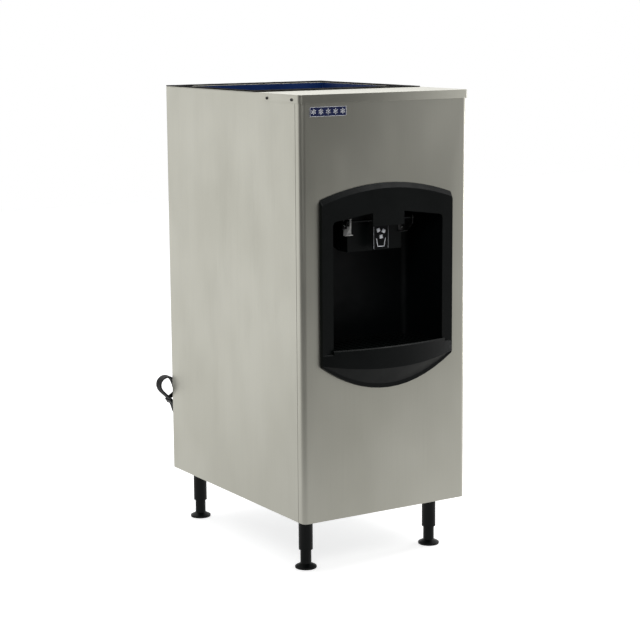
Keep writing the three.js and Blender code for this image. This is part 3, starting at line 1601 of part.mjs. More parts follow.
function powerPlug() {
  const [x, y, top] = plugTop();
  const neckZ = top - plugNeckLength;
  const bodyZ1 = neckZ - plugLength;
  const body = turnedZ([
    [0, bodyZ1], [plugRadius, bodyZ1], [plugRadius, bodyZ1 + plugLength * plugShoulderShare],
    [plugNeckRadius, neckZ], [plugTipRadius, top], [0, top],
  ], x, y, 16);
  const blades = [-1, 1].map((side) => box(
    x + side * bladeSpread - bladeThickness / 2, x + side * bladeSpread + bladeThickness / 2,
    y - bladeWidth / 2, y + bladeWidth / 2, bodyZ1 - bladeLength, bodyZ1 + overrun,
  ));
  const ground = rodZ(groundRadius, x, y + groundDrop, bodyZ1 - bladeLength, bodyZ1 + overrun, 10);
  return union(body, ...blades, ground);
}

// All the pieces

piece('left_side_panel', 'steel', sidePanel(-1));
piece('right_side_panel', 'steel', sidePanel(1));
piece('back_panel', 'galvanised', backPanel());
piece('base_pan', 'galvanised', basePan());
piece('front_panel', 'steel', frontPanel());
piece('top_front_cap', 'steel', topFrontCap());
trimScrewDepths.forEach((fromFront, i) => {
  const place = ['front', 'rear'][i];
  piece(`left_${place}_trim_screw`, 'darkSteel', trimScrew(-1, fromFront));
  piece(`right_${place}_trim_screw`, 'darkSteel', trimScrew(1, fromFront));
});
piece('rim_flange', 'steel', rimFlange());
piece('rim_gasket', 'gasket', rimGasket());
piece('bin_liner', 'blueLiner', binLiner());
piece('bin_insulation', 'foam', binInsulation());
piece('drive_shaft', 'darkSteel', driveShaft());
piece('feed_wheel', 'greyPlastic', feedWheel());
piece('agitator', 'darkSteel', agitator());
piece('shaft_end_bearing', 'greyPlastic', shaftEndBearing());
piece('gearbox', 'castIron', gearbox());
piece('drive_motor', 'motor', driveMotor());
piece('motor_bracket', 'galvanised', motorBracket());
piece('ice_chute', 'blackPlastic', iceChute());
piece('chute_gate', 'darkSteel', chuteGate());
piece('gate_actuator', 'blackPlastic', gateActuator());
piece('push_lever', 'blackPlastic', pushLever());
piece('lever_label_plate', 'label', leverLabelPlate());
piece('left_lever_bracket', 'steel', leverBracket(-1));
piece('right_lever_bracket', 'steel', leverBracket(1));
piece('lever_return_spring', 'darkSteel', leverReturnSpring());
piece('lever_switch', 'blackPlastic', leverSwitch());
piece('switch_plunger', 'greyPlastic', switchPlunger());
piece('recess_liner', 'recessPlastic', recessLiner());
piece('fascia', 'blackPlastic', fascia());
piece('drip_tray', 'blackPlastic', dripTray());
piece('drip_grille', 'blackPlastic', dripGrille());
piece('badge_plate', 'badge', badgePlate());
piece('drain_manifold', 'hose', drainManifold());
piece('tray_drain_hose', 'hose', drainHose(trayDrainDepth, recessFloorZ - recessWall - stubHeight));
piece('hopper_drain_fitting', 'greyPlastic', hopperDrainFitting());
piece('hopper_drain_hose', 'hose', drainHose(hopperDrainDepth, hopperSpigotZ()));
piece('drain_clip', 'greyPlastic', drainClip());
piece('front_hopper_stand', 'galvanised', hopperStand(frontStandDepth, foamBottomZ() - seat));
piece('rear_hopper_stand', 'galvanised', hopperStand(rearStandDepth, foamRearZ - seat));
piece('control_cover', 'galvanised', controlCover());
piece('rocker_bezel', 'blackPlastic', rockerBezel());
piece('power_rocker', 'blackPlastic', powerRocker());
legPlaces().forEach((place, i) => {
  const name = ['front_left', 'front_right', 'rear_left', 'rear_right'][i];
  piece(`${name}_leg`, 'blackPlastic', leg(place));
  piece(`${name}_foot`, 'blackPlastic', foot(place));
});
piece('cord_gland', 'rubber', cordGland());
piece('power_cord', 'rubber', powerCord());
piece('cord_tie', 'blackPlastic', cordTie());
piece('cord_anchor', 'blackPlastic', cordAnchor());
piece('power_plug', 'rubber', powerPlug());

export default part;
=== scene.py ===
import json
import math
import random

import bmesh
import bpy
from mathutils import Matrix, Vector


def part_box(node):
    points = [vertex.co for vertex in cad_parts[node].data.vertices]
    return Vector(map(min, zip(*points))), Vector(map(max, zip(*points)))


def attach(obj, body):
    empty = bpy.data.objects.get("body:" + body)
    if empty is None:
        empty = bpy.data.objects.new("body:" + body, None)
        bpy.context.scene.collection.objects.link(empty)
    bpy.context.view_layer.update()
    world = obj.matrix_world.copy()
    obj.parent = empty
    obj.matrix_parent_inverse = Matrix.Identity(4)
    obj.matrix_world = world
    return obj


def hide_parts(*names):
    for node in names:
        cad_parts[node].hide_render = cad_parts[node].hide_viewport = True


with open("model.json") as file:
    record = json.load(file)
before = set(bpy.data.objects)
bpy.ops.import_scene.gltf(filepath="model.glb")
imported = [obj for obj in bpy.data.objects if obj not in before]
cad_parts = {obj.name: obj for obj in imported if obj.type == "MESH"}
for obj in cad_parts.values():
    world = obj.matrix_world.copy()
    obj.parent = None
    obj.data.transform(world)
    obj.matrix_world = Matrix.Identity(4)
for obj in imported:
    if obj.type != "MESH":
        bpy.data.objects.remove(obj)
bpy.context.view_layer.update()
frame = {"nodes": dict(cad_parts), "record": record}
slots_of_nodes = {row["node"]: row["material_slot"] for row in frame["record"]["subparts"]}

# Places that several pieces share, in metres

back_low, back_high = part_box("back_panel")
gland_low, gland_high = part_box("cord_gland")
back_y = back_high.y
gland_x = (gland_low.x + gland_high.x) / 2
gland_z = (gland_low.z + gland_high.z) / 2

# Camera

camera_place = Vector((-2.7918, -4.4887, 1.5713))
camera_azimuth = math.radians(-32.04)
camera_elevation = math.radians(9.79)
camera_roll = math.radians(-0.38)
focal_pixels = 1781.48
image_width = 640
sensor_width = 36
camera_reach = 100


def make_camera():
    data = bpy.data.cameras.new("camera")
    data.sensor_width = sensor_width
    data.lens = sensor_width * focal_pixels / image_width
    data.clip_end = camera_reach
    camera = bpy.data.objects.new("camera", data)
    bpy.context.scene.collection.objects.link(camera)
    ahead = Vector((
        -math.sin(camera_azimuth) * math.cos(camera_elevation),
        math.cos(camera_azimuth) * math.cos(camera_elevation),
        -math.sin(camera_elevation),
    ))
    level = ahead.cross(Vector((0, 0, 1))).normalized()
    upright = level.cross(ahead)
    c, s = math.cos(camera_roll), math.sin(camera_roll)
    right = level * c + upright * s
    up = upright * c - level * s
    turn = Matrix((right, up, -ahead)).transposed().to_4x4()
    camera.matrix_world = Matrix.Translation(camera_place) @ turn
    bpy.context.scene.camera = camera


# Shader helpers


def new_material(name, roughness, metallic=0.0, specular=0.5, coat=0.0):
    material = bpy.data.materials.new(name)
    material.use_nodes = True
    shader = material.node_tree.nodes["Principled BSDF"]
    shader.inputs["Roughness"].default_value = roughness
    shader.inputs["Metallic"].default_value = metallic
    shader.inputs["Specular IOR Level"].default_value = specular
    shader.inputs["Coat Weight"].default_value = coat
    return material


def add_node(tree, kind, **values):
    node = tree.nodes.new(kind)
    for name, value in values.items():
        setattr(node, name, value)
    return node


def shader_input(material, name):
    return material.node_tree.nodes["Principled BSDF"].inputs[name]


def join(tree, source, target):
    tree.links.new(source, target)


def place_of(tree, stretch=(1, 1, 1)):
    """The place on the object, in metres, stretched along each axis."""
    where = add_node(tree, "ShaderNodeTexCoord")
    mapping = add_node(tree, "ShaderNodeMapping")
    mapping.inputs["Scale"].default_value = stretch
    join(tree, where.outputs["Object"], mapping.inputs["Vector"])
    return mapping.outputs["Vector"]


def noise(material, scale, stretch=(1, 1, 1), detail=3.0, roughness=0.5):
    tree = material.node_tree
    node = add_node(tree, "ShaderNodeTexNoise")
    node.inputs["Scale"].default_value = scale
    node.inputs["Detail"].default_value = detail
    node.inputs["Roughness"].default_value = roughness
    join(tree, place_of(tree, stretch), node.inputs["Vector"])
    return node.outputs["Fac"]


def cells(material, scale, output="Color"):
    tree = material.node_tree
    node = add_node(tree, "ShaderNodeTexVoronoi")
    node.inputs["Scale"].default_value = scale
    join(tree, place_of(tree), node.inputs["Vector"])
    return node.outputs[output]


def span(tree, value, low, high, out_low, out_high):
    """Maps low to high onto out_low to out_high."""
    node = add_node(tree, "ShaderNodeMapRange")
    ends = {"From Min": low, "From Max": high, "To Min": out_low, "To Max": out_high}
    for name, number in ends.items():
        node.inputs[name].default_value = number
    join(tree, value, node.inputs["Value"])
    return node.outputs["Result"]


def combine(tree, operation, first, second):
    node = add_node(tree, "ShaderNodeMath", operation=operation)
    for socket, value in zip(node.inputs, (first, second)):
        if isinstance(value, (int, float)):
            socket.default_value = value
        else:
            join(tree, value, socket)
    return node.outputs[0]


def blend_colors(material, share, first, second):
    """Mixes two colours, each written out or taken from another node."""
    tree = material.node_tree
    node = add_node(tree, "ShaderNodeMix", data_type="RGBA")
    sockets = [socket for socket in node.inputs if socket.type == "RGBA"]
    for socket, color in zip(sockets, (first, second)):
        if isinstance(color, tuple):
            socket.default_value = (*color, 1)
        else:
            join(tree, color, socket)
    join(tree, share, node.inputs["Factor"])
    return next(socket for socket in node.outputs if socket.type == "RGBA")


def set_color(material, share, first, second):
    color = blend_colors(material, share, first, second)
    join(material.node_tree, color, shader_input(material, "Base Color"))


def set_roughness(material, value):
    join(material.node_tree, value, shader_input(material, "Roughness"))


def set_bump(material, heights):
    """Adds bumps one over another, each given as its height, strength and depth."""
    tree = material.node_tree
    normal = None
    for height, strength, depth in heights:
        node = add_node(tree, "ShaderNodeBump")
        node.inputs["Strength"].default_value = strength
        node.inputs["Distance"].default_value = depth
        join(tree, height, node.inputs["Height"])
        if normal:
            join(tree, normal, node.inputs["Normal"])
        normal = node.outputs["Normal"]
    join(tree, normal, shader_input(material, "Normal"))


# Depths of the bumps in the finishes

scratch_depth = 0.0002
grain_depth = 0.0003
skin_depth = 0.0004
pore_depth = 0.0005
enamel_depth = 0.0006
pebble_depth = 0.0008
ripple_depth = 0.001
sheet_wave_depth = 0.002
mould_wave_depth = 0.003


# Materials


def brushed_steel():
    """Sheet steel with upright brush lines, faint clouding and hand marks."""
    material = new_material("panel_steel", 0.36, metallic=1.0)
    tree = material.node_tree
    lines = noise(material, 1.0, stretch=(1400, 1400, 5), detail=4.0, roughness=0.6)
    clouds = noise(material, 2.6, detail=2.0)
    marks = noise(material, 11.0, stretch=(1, 1, 0.4), detail=5.0)
    clouded = blend_colors(
        material, span(tree, clouds, 0.35, 0.65, 0, 1), (0.575, 0.567, 0.490), (0.635, 0.627, 0.550),
    )
    set_color(material, span(tree, lines, 0.2, 0.8, 0, 0.14), clouded, (0.32, 0.32, 0.295))
    rough = span(tree, lines, 0.2, 0.8, 0.31, 0.40)
    smudges = span(tree, marks, 0.45, 0.75, 0, 0.06)
    set_roughness(material, combine(tree, "ADD", rough, smudges))
    set_bump(material, [(lines, 0.05, scratch_depth), (clouds, 0.06, sheet_wave_depth)])
    return material


def galvanised_sheet():
    """Zinc spangle, dull and bluish, with a few darker crystals."""
    material = new_material("galvanised_sheet", 0.5, metallic=0.85)
    tree = material.node_tree
    tone = add_node(tree, "ShaderNodeSeparateColor")
    join(tree, cells(material, 140.0), tone.inputs["Color"])
    set_color(material, tone.outputs["Red"], (0.33, 0.345, 0.35), (0.50, 0.515, 0.515))
    set_roughness(material, span(tree, tone.outputs["Green"], 0, 1, 0.38, 0.58))
    set_bump(material, [(noise(material, 260.0), 0.05, skin_depth)])
    return material


def bright_steel(name, light, dark, metallic=1.0):
    """Plated fasteners, brackets and shafts with fine marks and dull patches."""
    material = new_material(name, 0.3, metallic=metallic)
    tree = material.node_tree
    marks = noise(material, 900.0)
    dull = noise(material, 45.0)
    set_color(material, span(tree, dull, 0.35, 0.7, 0, 1), light, dark)
    set_roughness(material, span(tree, marks, 0.3, 0.7, 0.24, 0.4))
    set_bump(material, [(marks, 0.06, scratch_depth)])
    return material


def moulded_plastic(name, color, cloud_color, roughness=0.42, specular=0.5):
    """Moulded plastic with a fine grain, slight clouding and rubbed patches."""
    material = new_material(name, roughness, specular=specular)
    tree = material.node_tree
    grain = noise(material, 900.0, detail=2.0)
    clouds = noise(material, 7.0)
    rubbed = noise(material, 24.0, detail=4.0)
    set_color(material, span(tree, clouds, 0.35, 0.68, 0, 1), color, cloud_color)
    set_roughness(material, span(tree, rubbed, 0.35, 0.7, roughness - 0.06, roughness + 0.06))
    set_bump(material, [(grain, 0.12, grain_depth), (clouds, 0.05, mould_wave_depth)])
    return material


def blue_liner():
    """Smooth moulded polyethylene with a faint waxy mottle."""
    material = new_material("blue_liner", 0.42)
    tree = material.node_tree
    mottle = noise(material, 9.0, detail=4.0)
    set_color(
        material, span(tree, mottle, 0.35, 0.65, 0, 1), (0.0018, 0.024, 0.125), (0.0026, 0.032, 0.160),
    )
    set_roughness(material, span(tree, mottle, 0.3, 0.7, 0.36, 0.5))
    set_bump(material, [(noise(material, 320.0), 0.06, skin_depth), (mottle, 0.08, mould_wave_depth)])
    return material


def gasket_foam():
    """Black closed-cell foam strip, skinned on top and a little dusty."""
    material = new_material("gasket_foam", 0.85, specular=0.04)
    tree = material.node_tree
    dust = noise(material, 30.0, detail=5.0)
    set_color(material, span(tree, dust, 0.45, 0.75, 0, 1), (0.005, 0.005, 0.005), (0.016, 0.016, 0.016))
    pores = cells(material, 900.0, "Distance")
    set_bump(material, [(pores, 0.3, pore_depth), (noise(material, 60.0), 0.25, ripple_depth)])
    return material


def insulation_foam():
    """Rigid cream foam with cut cells."""
    material = new_material("insulation_foam", 0.95, specular=0.2)
    tree = material.node_tree
    age = noise(material, 6.0, detail=4.0)
    set_color(material, span(tree, age, 0.3, 0.7, 0, 1), (0.74, 0.66, 0.44), (0.82, 0.76, 0.56))
    set_bump(material, [(cells(material, 700.0, "Distance"), 0.5, pebble_depth)])
    return material


def cast_iron():
    """Grey painted casting with a pebbled skin."""
    material = new_material("gearbox_iron", 0.55, metallic=0.3)
    tree = material.node_tree
    shade = span(tree, noise(material, 20.0), 0.3, 0.7, 0, 1)
    set_color(material, shade, (0.07, 0.085, 0.09), (0.11, 0.125, 0.13))
    set_bump(material, [(noise(material, 420.0), 0.5, pebble_depth)])
    return material


def motor_enamel():
    """Black enamel with a slightly uneven skin."""
    material = new_material("motor_paint", 0.3, coat=0.3)
    tree = material.node_tree
    shade = span(tree, noise(material, 18.0), 0.3, 0.7, 0, 1)
    set_color(material, shade, (0.014, 0.016, 0.017), (0.024, 0.027, 0.029))
    set_bump(material, [(noise(material, 260.0, detail=1.0), 0.2, enamel_depth)])
    return material


def cord_rubber():
    """Black vinyl with scuffs and a fine grain."""
    material = new_material("cord_rubber", 0.5)
    tree = material.node_tree
    scuffs = noise(material, 120.0, detail=5.0)
    worn = span(tree, scuffs, 0.5, 0.75, 0, 1)
    set_color(material, worn, (0.008, 0.008, 0.009), (0.024, 0.024, 0.026))
    set_roughness(material, span(tree, scuffs, 0.4, 0.7, 0.42, 0.6))
    set_bump(material, [(noise(material, 1400.0, detail=1.0), 0.08, scratch_depth)])
    return material


def pale_plastic(name, color, aged):
    """Pale pipe, hose or print, slightly yellowed."""
    material = new_material(name, 0.4)
    tree = material.node_tree
    set_color(material, span(tree, noise(material, 14.0, detail=4.0), 0.35, 0.7, 0, 1), color, aged)
    set_bump(material, [(noise(material, 350.0), 0.08, skin_depth)])
    return material


def gloss_plate(name, color, second, specular=0.5, coat=0.4):
    """A smooth printed plate, with or without a clear film over it."""
    material = new_material(name, 0.25, specular=specular, coat=coat)
    tree = material.node_tree
    set_color(material, span(tree, noise(material, 800.0, detail=2.0), 0.3, 0.7, 0, 1), color, second)
    set_bump(material, [(noise(material, 60.0), 0.04, ripple_depth)])
    return material


def make_materials():
    return {
        "panel_steel": brushed_steel(),
        "galvanised_sheet": galvanised_sheet(),
        "fastener_steel": bright_steel("fastener_steel", (0.60, 0.60, 0.59), (0.40, 0.40, 0.40)),
        # Dark screw steel, also put on the right lever bracket as painted shade
        "dark_screw": bright_steel("dark_screw", (0.10, 0.10, 0.10), (0.045, 0.045, 0.045)),
        # A paler, less metallic copy of the bracket steel, as painted light on the left lever bracket
        "painted_light_bracket": bright_steel(
            "painted_light_bracket", (0.72, 0.72, 0.70), (0.58, 0.58, 0.57), metallic=0.15,
        ),
        "gasket": gasket_foam(),
        "blue_liner": blue_liner(),
        "insulation_foam": insulation_foam(),
        "grey_plastic": moulded_plastic("grey_plastic", (0.31, 0.34, 0.33), (0.38, 0.40, 0.39)),
        "gearbox_iron": cast_iron(),
        "motor_paint": motor_enamel(),
        "black_plastic": moulded_plastic(
            "black_plastic", (0.0011, 0.0021, 0.0020), (0.0020, 0.0032, 0.0031), specular=0.18,
        ),
        # Darker than the black plastic: the recess liner's own dark colour with the recess's shade
        # painted in
        "recess_plastic": moulded_plastic(
            "recess_plastic", (0.0008, 0.0015, 0.0018), (0.0014, 0.0023, 0.0027), specular=0.17,
        ),
        "badge": gloss_plate("badge_navy", (0.006, 0.011, 0.060), (0.008, 0.015, 0.075)),
        "lever_label": gloss_plate(
            "lever_label", (0.0015, 0.002, 0.0025), (0.003, 0.0035, 0.004), specular=0.15, coat=0.0,
        ),
        "pale_print": pale_plastic("pale_print", (0.74, 0.76, 0.80), (0.68, 0.70, 0.74)),
        "white_pipe": pale_plastic("white_pipe", (0.66, 0.67, 0.63), (0.58, 0.57, 0.50)),
        "drain_hose": pale_plastic("drain_hose", (0.52, 0.56, 0.52), (0.46, 0.47, 0.40)),
        "cord_rubber": cord_rubber(),
    }


# Solids keep their shape and get a finish and softened edges

weld_distance = 1e-6
flat_angle = math.radians(0.4)
edge_angle = math.radians(28)
edge_radius = 0.0005

# Flat faces with holes in them can't become one face each
pierced_nodes = ["fascia", "drip_grille", "back_panel"]
edge_radii = {
    "fascia": 0.0012,
    "front_panel": 0.0004,
    "left_side_panel": 0.0004,
    "right_side_panel": 0.0004,
    "push_lever": 0.0007,
    "recess_liner": 0.0008,
    "bin_liner": 0.0015,
    "drip_tray": 0.0008,
    "drip_grille": 0.0008,
    "gearbox": 0.0015,
    "drive_motor": 0.0015,
    "feed_wheel": 0.0010,
    "cord_tie": 0.0004,
    "lever_return_spring": 0,
}


def soften(piece, width):
    piece.data.shade_smooth()
    bevel = piece.modifiers.new("soft_edges", "BEVEL")
    bevel.width = width
    bevel.segments = 2
    bevel.limit_method = "ANGLE"
    bevel.angle_limit = edge_angle
    bevel.harden_normals = True
    bevel.miter_outer = "MITER_ARC"


def dress_node(name, material):
    node = frame["nodes"][name]
    for slot in node.material_slots:
        slot.link = "OBJECT"
        slot.material = material
    if "custom_normal" in node.data.attributes:
        node.data.attributes.remove(node.data.attributes["custom_normal"])
    weld = node.modifiers.new("weld", "WELD")
    weld.merge_threshold = weld_distance
    if name not in pierced_nodes:
        flat = node.modifiers.new("flat_faces", "DECIMATE")
        flat.decimate_type = "DISSOLVE"
        flat.angle_limit = flat_angle
    width = edge_radii.get(name, edge_radius)
    if width:
        soften(node, width)


# Helpers for pieces made here


def new_piece(name, material, body, fill):
    """A mesh that fill adds its faces to, riding on a body."""
    mesh = bpy.data.meshes.new(name)
    made = bmesh.new()
    fill(made)
    bmesh.ops.recalc_face_normals(made, faces=made.faces)
    made.to_mesh(mesh)
    made.free()
    mesh.materials.append(material)
    mesh.shade_smooth()
    piece = bpy.data.objects.new(name, mesh)
    bpy.context.scene.collection.objects.link(piece)
    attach(piece, body)
    return piece


def add_outline(made, outline, low_y, high_y):
    """A flat outline of (x, z) points with a thickness along Y."""
    front = [made.verts.new((x, low_y, z)) for x, z in outline]
    back = [made.verts.new((x, high_y, z)) for x, z in outline]
    made.faces.new(front)
    made.faces.new(back[::-1])
    count = len(outline)
    for i in range(count):
        j = (i + 1) % count
        made.faces.new((front[i], front[j], back[j], back[i]))


def add_bar(made, start, end, width, low_y, high_y):
    """A straight printed line from one (x, z) point to another."""
    a, b = Vector(start), Vector(end)
    side = (b - a).normalized().orthogonal() * width / 2
    add_outline(made, [a + side, a - side, b - side, b + side], low_y, high_y)


def add_turned(made, profile, matrix, sides=24, hollow=False):
    """A turned shape of (radius, height) points about the matrix's Z axis, and its rings.

    A hollow one joins its last point to its first, and any other starts and ends on the axis.
    """
    rings = []
    for radius, height in profile:
        count = sides if radius else 1
        ring = []
        for i in range(count):
            angle = 2 * math.pi * i / sides
            place = Vector((radius * math.cos(angle), radius * math.sin(angle), height))
            ring.append(made.verts.new(matrix @ place))
        rings.append(ring)
    pairs = list(zip(rings, rings[1:]))
    if hollow:
        pairs.append((rings[-1], rings[0]))
    for lower, upper in pairs:
        for i in range(sides):
            j = (i + 1) % sides
            corners = [
                lower[i % len(lower)], lower[j % len(lower)],
                upper[j % len(upper)], upper[i % len(upper)],
            ]
            different = list(dict.fromkeys(corners))
            if len(different) > 2:
                made.faces.new(different)
    return rings


def facing(place, outward):
    """Puts the origin at a place with Z pointing outward."""
    turn = Vector(outward).to_track_quat("Z", "Y").to_matrix().to_4x4()
    return Matrix.Translation(place) @ turn


def add_pan_head(made, matrix, radius, height, shank_radius, shank_length):
    """A pan-head screw with a cross recess, its head seated on the matrix's origin."""
    recess_radius = 0.6 * radius
    recess_depth = 0.6 * height
    recess_rings = [(share * recess_radius, height) for share in (0.85, 0.65, 0.45, 0.25, 0)]
    profile = [
        (0, -shank_length), (shank_radius, -shank_length), (shank_radius, 0), (radius, 0),
        (radius, 0.35 * height), (0.93 * radius, 0.68 * height), (0.8 * radius, 0.88 * height),
        (recess_radius, height), *recess_rings,
    ]
    rings = add_turned(made, profile, matrix)
    inward = matrix.to_3x3() @ Vector((0, 0, -recess_depth))
    for ring, (ring_radius, _) in zip(rings[-len(recess_rings):], recess_rings):
        reach = 1 - ring_radius / recess_radius
        for i, point in enumerate(ring):
            arm = abs(math.cos(4 * math.pi * i / len(ring))) ** 6
            point.co += inward * min(1, 2 * reach) * (1 if len(ring) == 1 else arm)


def add_hex_head(made, matrix, radius, height, washer_radius):
    """A hexagonal screw head on a round washer face."""
    washer_height = 0.3 * height
    add_turned(made, [
        (0, 0), (washer_radius, 0), (washer_radius, 0.6 * washer_height),
        (0.9 * washer_radius, washer_height), (0, washer_height),
    ], matrix)
    add_turned(made, [
        (0, 0.5 * washer_height), (radius, 0.5 * washer_height), (radius, 0.85 * height),
        (0.86 * radius, height), (0, height),
    ], matrix, sides=6)


# Power cord: the same route as the solid's, from the gland through the hank to the plug

cord_radius = 0.0035
cord_step = 0.005
gland_gap = 0.0003
hank_across = 0.154
hank_behind = 0.040
hank_rise = 0.033
hank_lean = 0.57
hank_run = 0.108
hank_radius = 0.025
hank_pitch = 0.0078
hank_waist_draw = 0.009
hank_turns = 4
hank_run_steps = 6
hank_fold_steps = 6
climb_start_share = 0.15
climb_end_share = 0.85

# To the right of the gland, behind the back panel and above the gland
cord_lead = [
    (0, 0.0315, 0), (-0.003, 0.043, -0.0015), (-0.012, 0.053, -0.0045), (-0.026, 0.0585, -0.0085),
    (-0.045, 0.059, -0.0145), (-0.065, 0.0575, -0.020), (-0.082, 0.0563, -0.0195),
    (-0.095, 0.0558, -0.012),
]
cord_tail = [
    (-0.1375, 0.0245, -0.038), (-0.131, 0.0246, -0.052), (-0.1275, 0.025, -0.065),
    (-0.1265, 0.0255, -0.078), (-0.1264, 0.0255, -0.090), (-0.1264, 0.0255, -0.098),
]


def by_gland(across, behind, up):
    return Vector((gland_x + across, back_y + behind, gland_z + up))


def hank_point(across, up, y):
    c, s = math.cos(hank_lean), math.sin(hank_lean)
    centre = by_gland(-hank_across, hank_behind, hank_rise)
    return centre + Vector((across * c - up * s, y, across * s + up * c))


def smooth_step(value, low, high):
    share = min(max((value - low) / (high - low), 0), 1)
    return share * share * (3 - 2 * share)


def hank_layer(layer):
    return ((hank_turns - 1) / 2 - layer) * hank_pitch - hank_pitch / 2


def hank_half_width(up):
    return hank_radius - hank_waist_draw * math.cos(math.pi * up / hank_run) ** 2


def hank_route():
    points = []
    half = hank_run / 2
    for turn in range(hank_turns):
        y = hank_layer(turn)
        for i in range(hank_run_steps):
            up = -half + hank_run * i / hank_run_steps
            climb = smooth_step(i / hank_run_steps, climb_start_share, climb_end_share)
            points.append(hank_point(hank_half_width(up), up, hank_layer(turn - 1 + climb)))
        for i in range(hank_fold_steps):
            angle = math.pi * i / hank_fold_steps
            up = half + hank_radius * math.sin(angle)
            points.append(hank_point(hank_radius * math.cos(angle), up, y))
        for i in range(hank_run_steps):
            up = half - hank_run * i / hank_run_steps
            points.append(hank_point(-hank_half_width(up), up, y))
        if turn == hank_turns - 1:
            points.append(hank_point(-hank_radius, -half, y))
            continue
        for i in range(hank_fold_steps):
            angle = math.pi + math.pi * i / hank_fold_steps
            up = hank_radius * math.sin(angle) - half
            points.append(hank_point(hank_radius * math.cos(angle), up, y))
    return points


def fine_curve(points, per_span=24):
    """A centripetal curve through the points."""
    ends = [points[0] * 2 - points[1], *points, points[-1] * 2 - points[-2]]
    fine = []
    for a, b, c, d in zip(ends, ends[1:], ends[2:], ends[3:]):
        t0 = 0
        t1 = t0 + math.sqrt((b - a).length)
        t2 = t1 + math.sqrt((c - b).length)
        t3 = t2 + math.sqrt((d - c).length)
        for i in range(per_span):
            t = t1 + (t2 - t1) * i / per_span
            ab = a.lerp(b, (t - t0) / (t1 - t0))
            bc = b.lerp(c, (t - t1) / (t2 - t1))
            cd = c.lerp(d, (t - t2) / (t3 - t2))
            left = ab.lerp(bc, (t - t0) / (t2 - t0))
            right = bc.lerp(cd, (t - t1) / (t3 - t1))
            fine.append(left.lerp(right, (t - t1) / (t2 - t1)))
    fine.append(points[-1])
    return fine


def even_line(fine, step):
    """Evenly spaced points along a finely divided curve."""
    reach = [0]
    for before, after in zip(fine, fine[1:]):
        reach.append(reach[-1] + (after - before).length)
    count = round(reach[-1] / step)
    line = []
    k = 0
    for i in range(count + 1):
        target = reach[-1] * i / count
        while k < len(reach) - 2 and reach[k + 1] < target:
            k += 1
        line.append(fine[k].lerp(fine[k + 1], (target - reach[k]) / (reach[k + 1] - reach[k])))
    return line


def make_cord(materials):
    exit_point = Vector((gland_x, gland_high.y + gland_gap, gland_z))
    lead = [by_gland(*point) for point in cord_lead]
    tail = [by_gland(*point) for point in cord_tail]
    route = even_line(fine_curve([exit_point, *lead, *hank_route(), *tail]), cord_step)
    curve = bpy.data.curves.new("power_cord_flex", "CURVE")
    curve.dimensions = "3D"
    curve.bevel_depth = cord_radius
    curve.bevel_resolution = 3
    curve.use_fill_caps = True
    spline = curve.splines.new("POLY")
    spline.points.add(len(route) - 1)
    for point, place in zip(spline.points, route):
        point.co = (*place, 1)
    spline.use_smooth = True
    curve.materials.append(materials["cord_rubber"])
    cord = bpy.data.objects.new("power_cord_flex", curve)
    bpy.context.scene.collection.objects.link(cord)
    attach(cord, "cabinet")
    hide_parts("power_cord")


# Plug

plug_neck_length = 0.014
plug_blade_length = 0.016
blade_thickness = 0.0015
blade_width = 0.0063
blade_spread = 0.00635
ground_pin_radius = 0.0024
ground_pin_drop = 0.0075
blade_point = 0.0012
pin_tip = 0.0002
pin_point = 0.0014
pin_shoulder = 0.003
prong_root = 0.001
plug_corner = 0.0015
plug_shoulder = 0.006
grip_ribs = 5
grip_start = 0.006
grip_end = 0.011
grip_foot = 0.0016
grip_floor = 0.0009
relief_ribs = 4
relief_rib_width = 0.0018
relief_rib_pitch = 0.0026
relief_tip_gap = 0.0002
plug_edge = 0.0003
prong_edge = 0.0002


def make_plug(materials):
    """A moulded plug with grip ribs, a stepped strain relief, two flat blades and a ground pin."""
    low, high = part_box("power_plug")
    x = (low.x + high.x) / 2
    y = (low.y + high.y) / 2
    radius = (high.x - low.x) / 2
    body_low = low.z + plug_blade_length
    body_high = high.z - plug_neck_length

    def fill_body(made):
        edge = 0.985 * radius
        groove = 0.91 * radius
        profile = [(0, body_low), (0.93 * radius, body_low), (edge, body_low + plug_corner)]
        grip_low = body_low + grip_start
        grip_high = body_high - grip_end
        for i in range(grip_ribs):
            z = grip_low + (grip_high - grip_low) * i / (grip_ribs - 1)
            profile += [
                (edge, z - grip_foot), (groove, z - grip_floor),
                (groove, z + grip_floor), (edge, z + grip_foot),
            ]
        profile += [(0.95 * radius, body_high - plug_shoulder), (0.62 * radius, body_high)]
        tip_radius = 1.25 * cord_radius
        for i in range(relief_ribs):
            share = i / relief_ribs
            z = body_high + plug_neck_length * (share + 0.05)
            r = 0.5 * radius * (1 - share) + tip_radius * share
            neck = 0.82 * r
            rib_top = z + relief_rib_width
            profile += [(r, z), (r, rib_top), (neck, rib_top), (neck, z + relief_rib_pitch)]
        relief_top = high.z - relief_tip_gap
        profile += [(0.95 * tip_radius, relief_top), (0, relief_top)]
        add_turned(made, profile, Matrix.Translation((x, y, 0)), sides=32)

    def fill_blades(made):
        half = blade_thickness / 2
        root = body_low + prong_root
        shoulder = low.z + blade_point
        for side in (-1, 1):
            centre = x + side * blade_spread
            outline = [
                (centre - half, root), (centre + half, root), (centre + half, shoulder),
                (centre + 0.3 * half, low.z), (centre - 0.3 * half, low.z), (centre - half, shoulder),
            ]
            add_outline(made, outline, y - blade_width / 2, y + blade_width / 2)
        pin = [
            (0, low.z), (0.5 * ground_pin_radius, low.z + pin_tip),
            (0.9 * ground_pin_radius, low.z + pin_point), (ground_pin_radius, low.z + pin_shoulder),
            (ground_pin_radius, root), (0, root),
        ]
        add_turned(made, pin, Matrix.Translation((x, y + ground_pin_drop, 0)), sides=16)

    body = new_piece("plug_body", materials["cord_rubber"], "cabinet", fill_body)
    blades = new_piece(
        "plug_blades", materials["fastener_steel"], "cabinet", fill_blades,
    )
    soften(body, plug_edge)
    soften(blades, prong_edge)
    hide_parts("power_plug")
    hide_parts("power_plug")
    return [body, blades]


# Foam strips round the bin's mouth

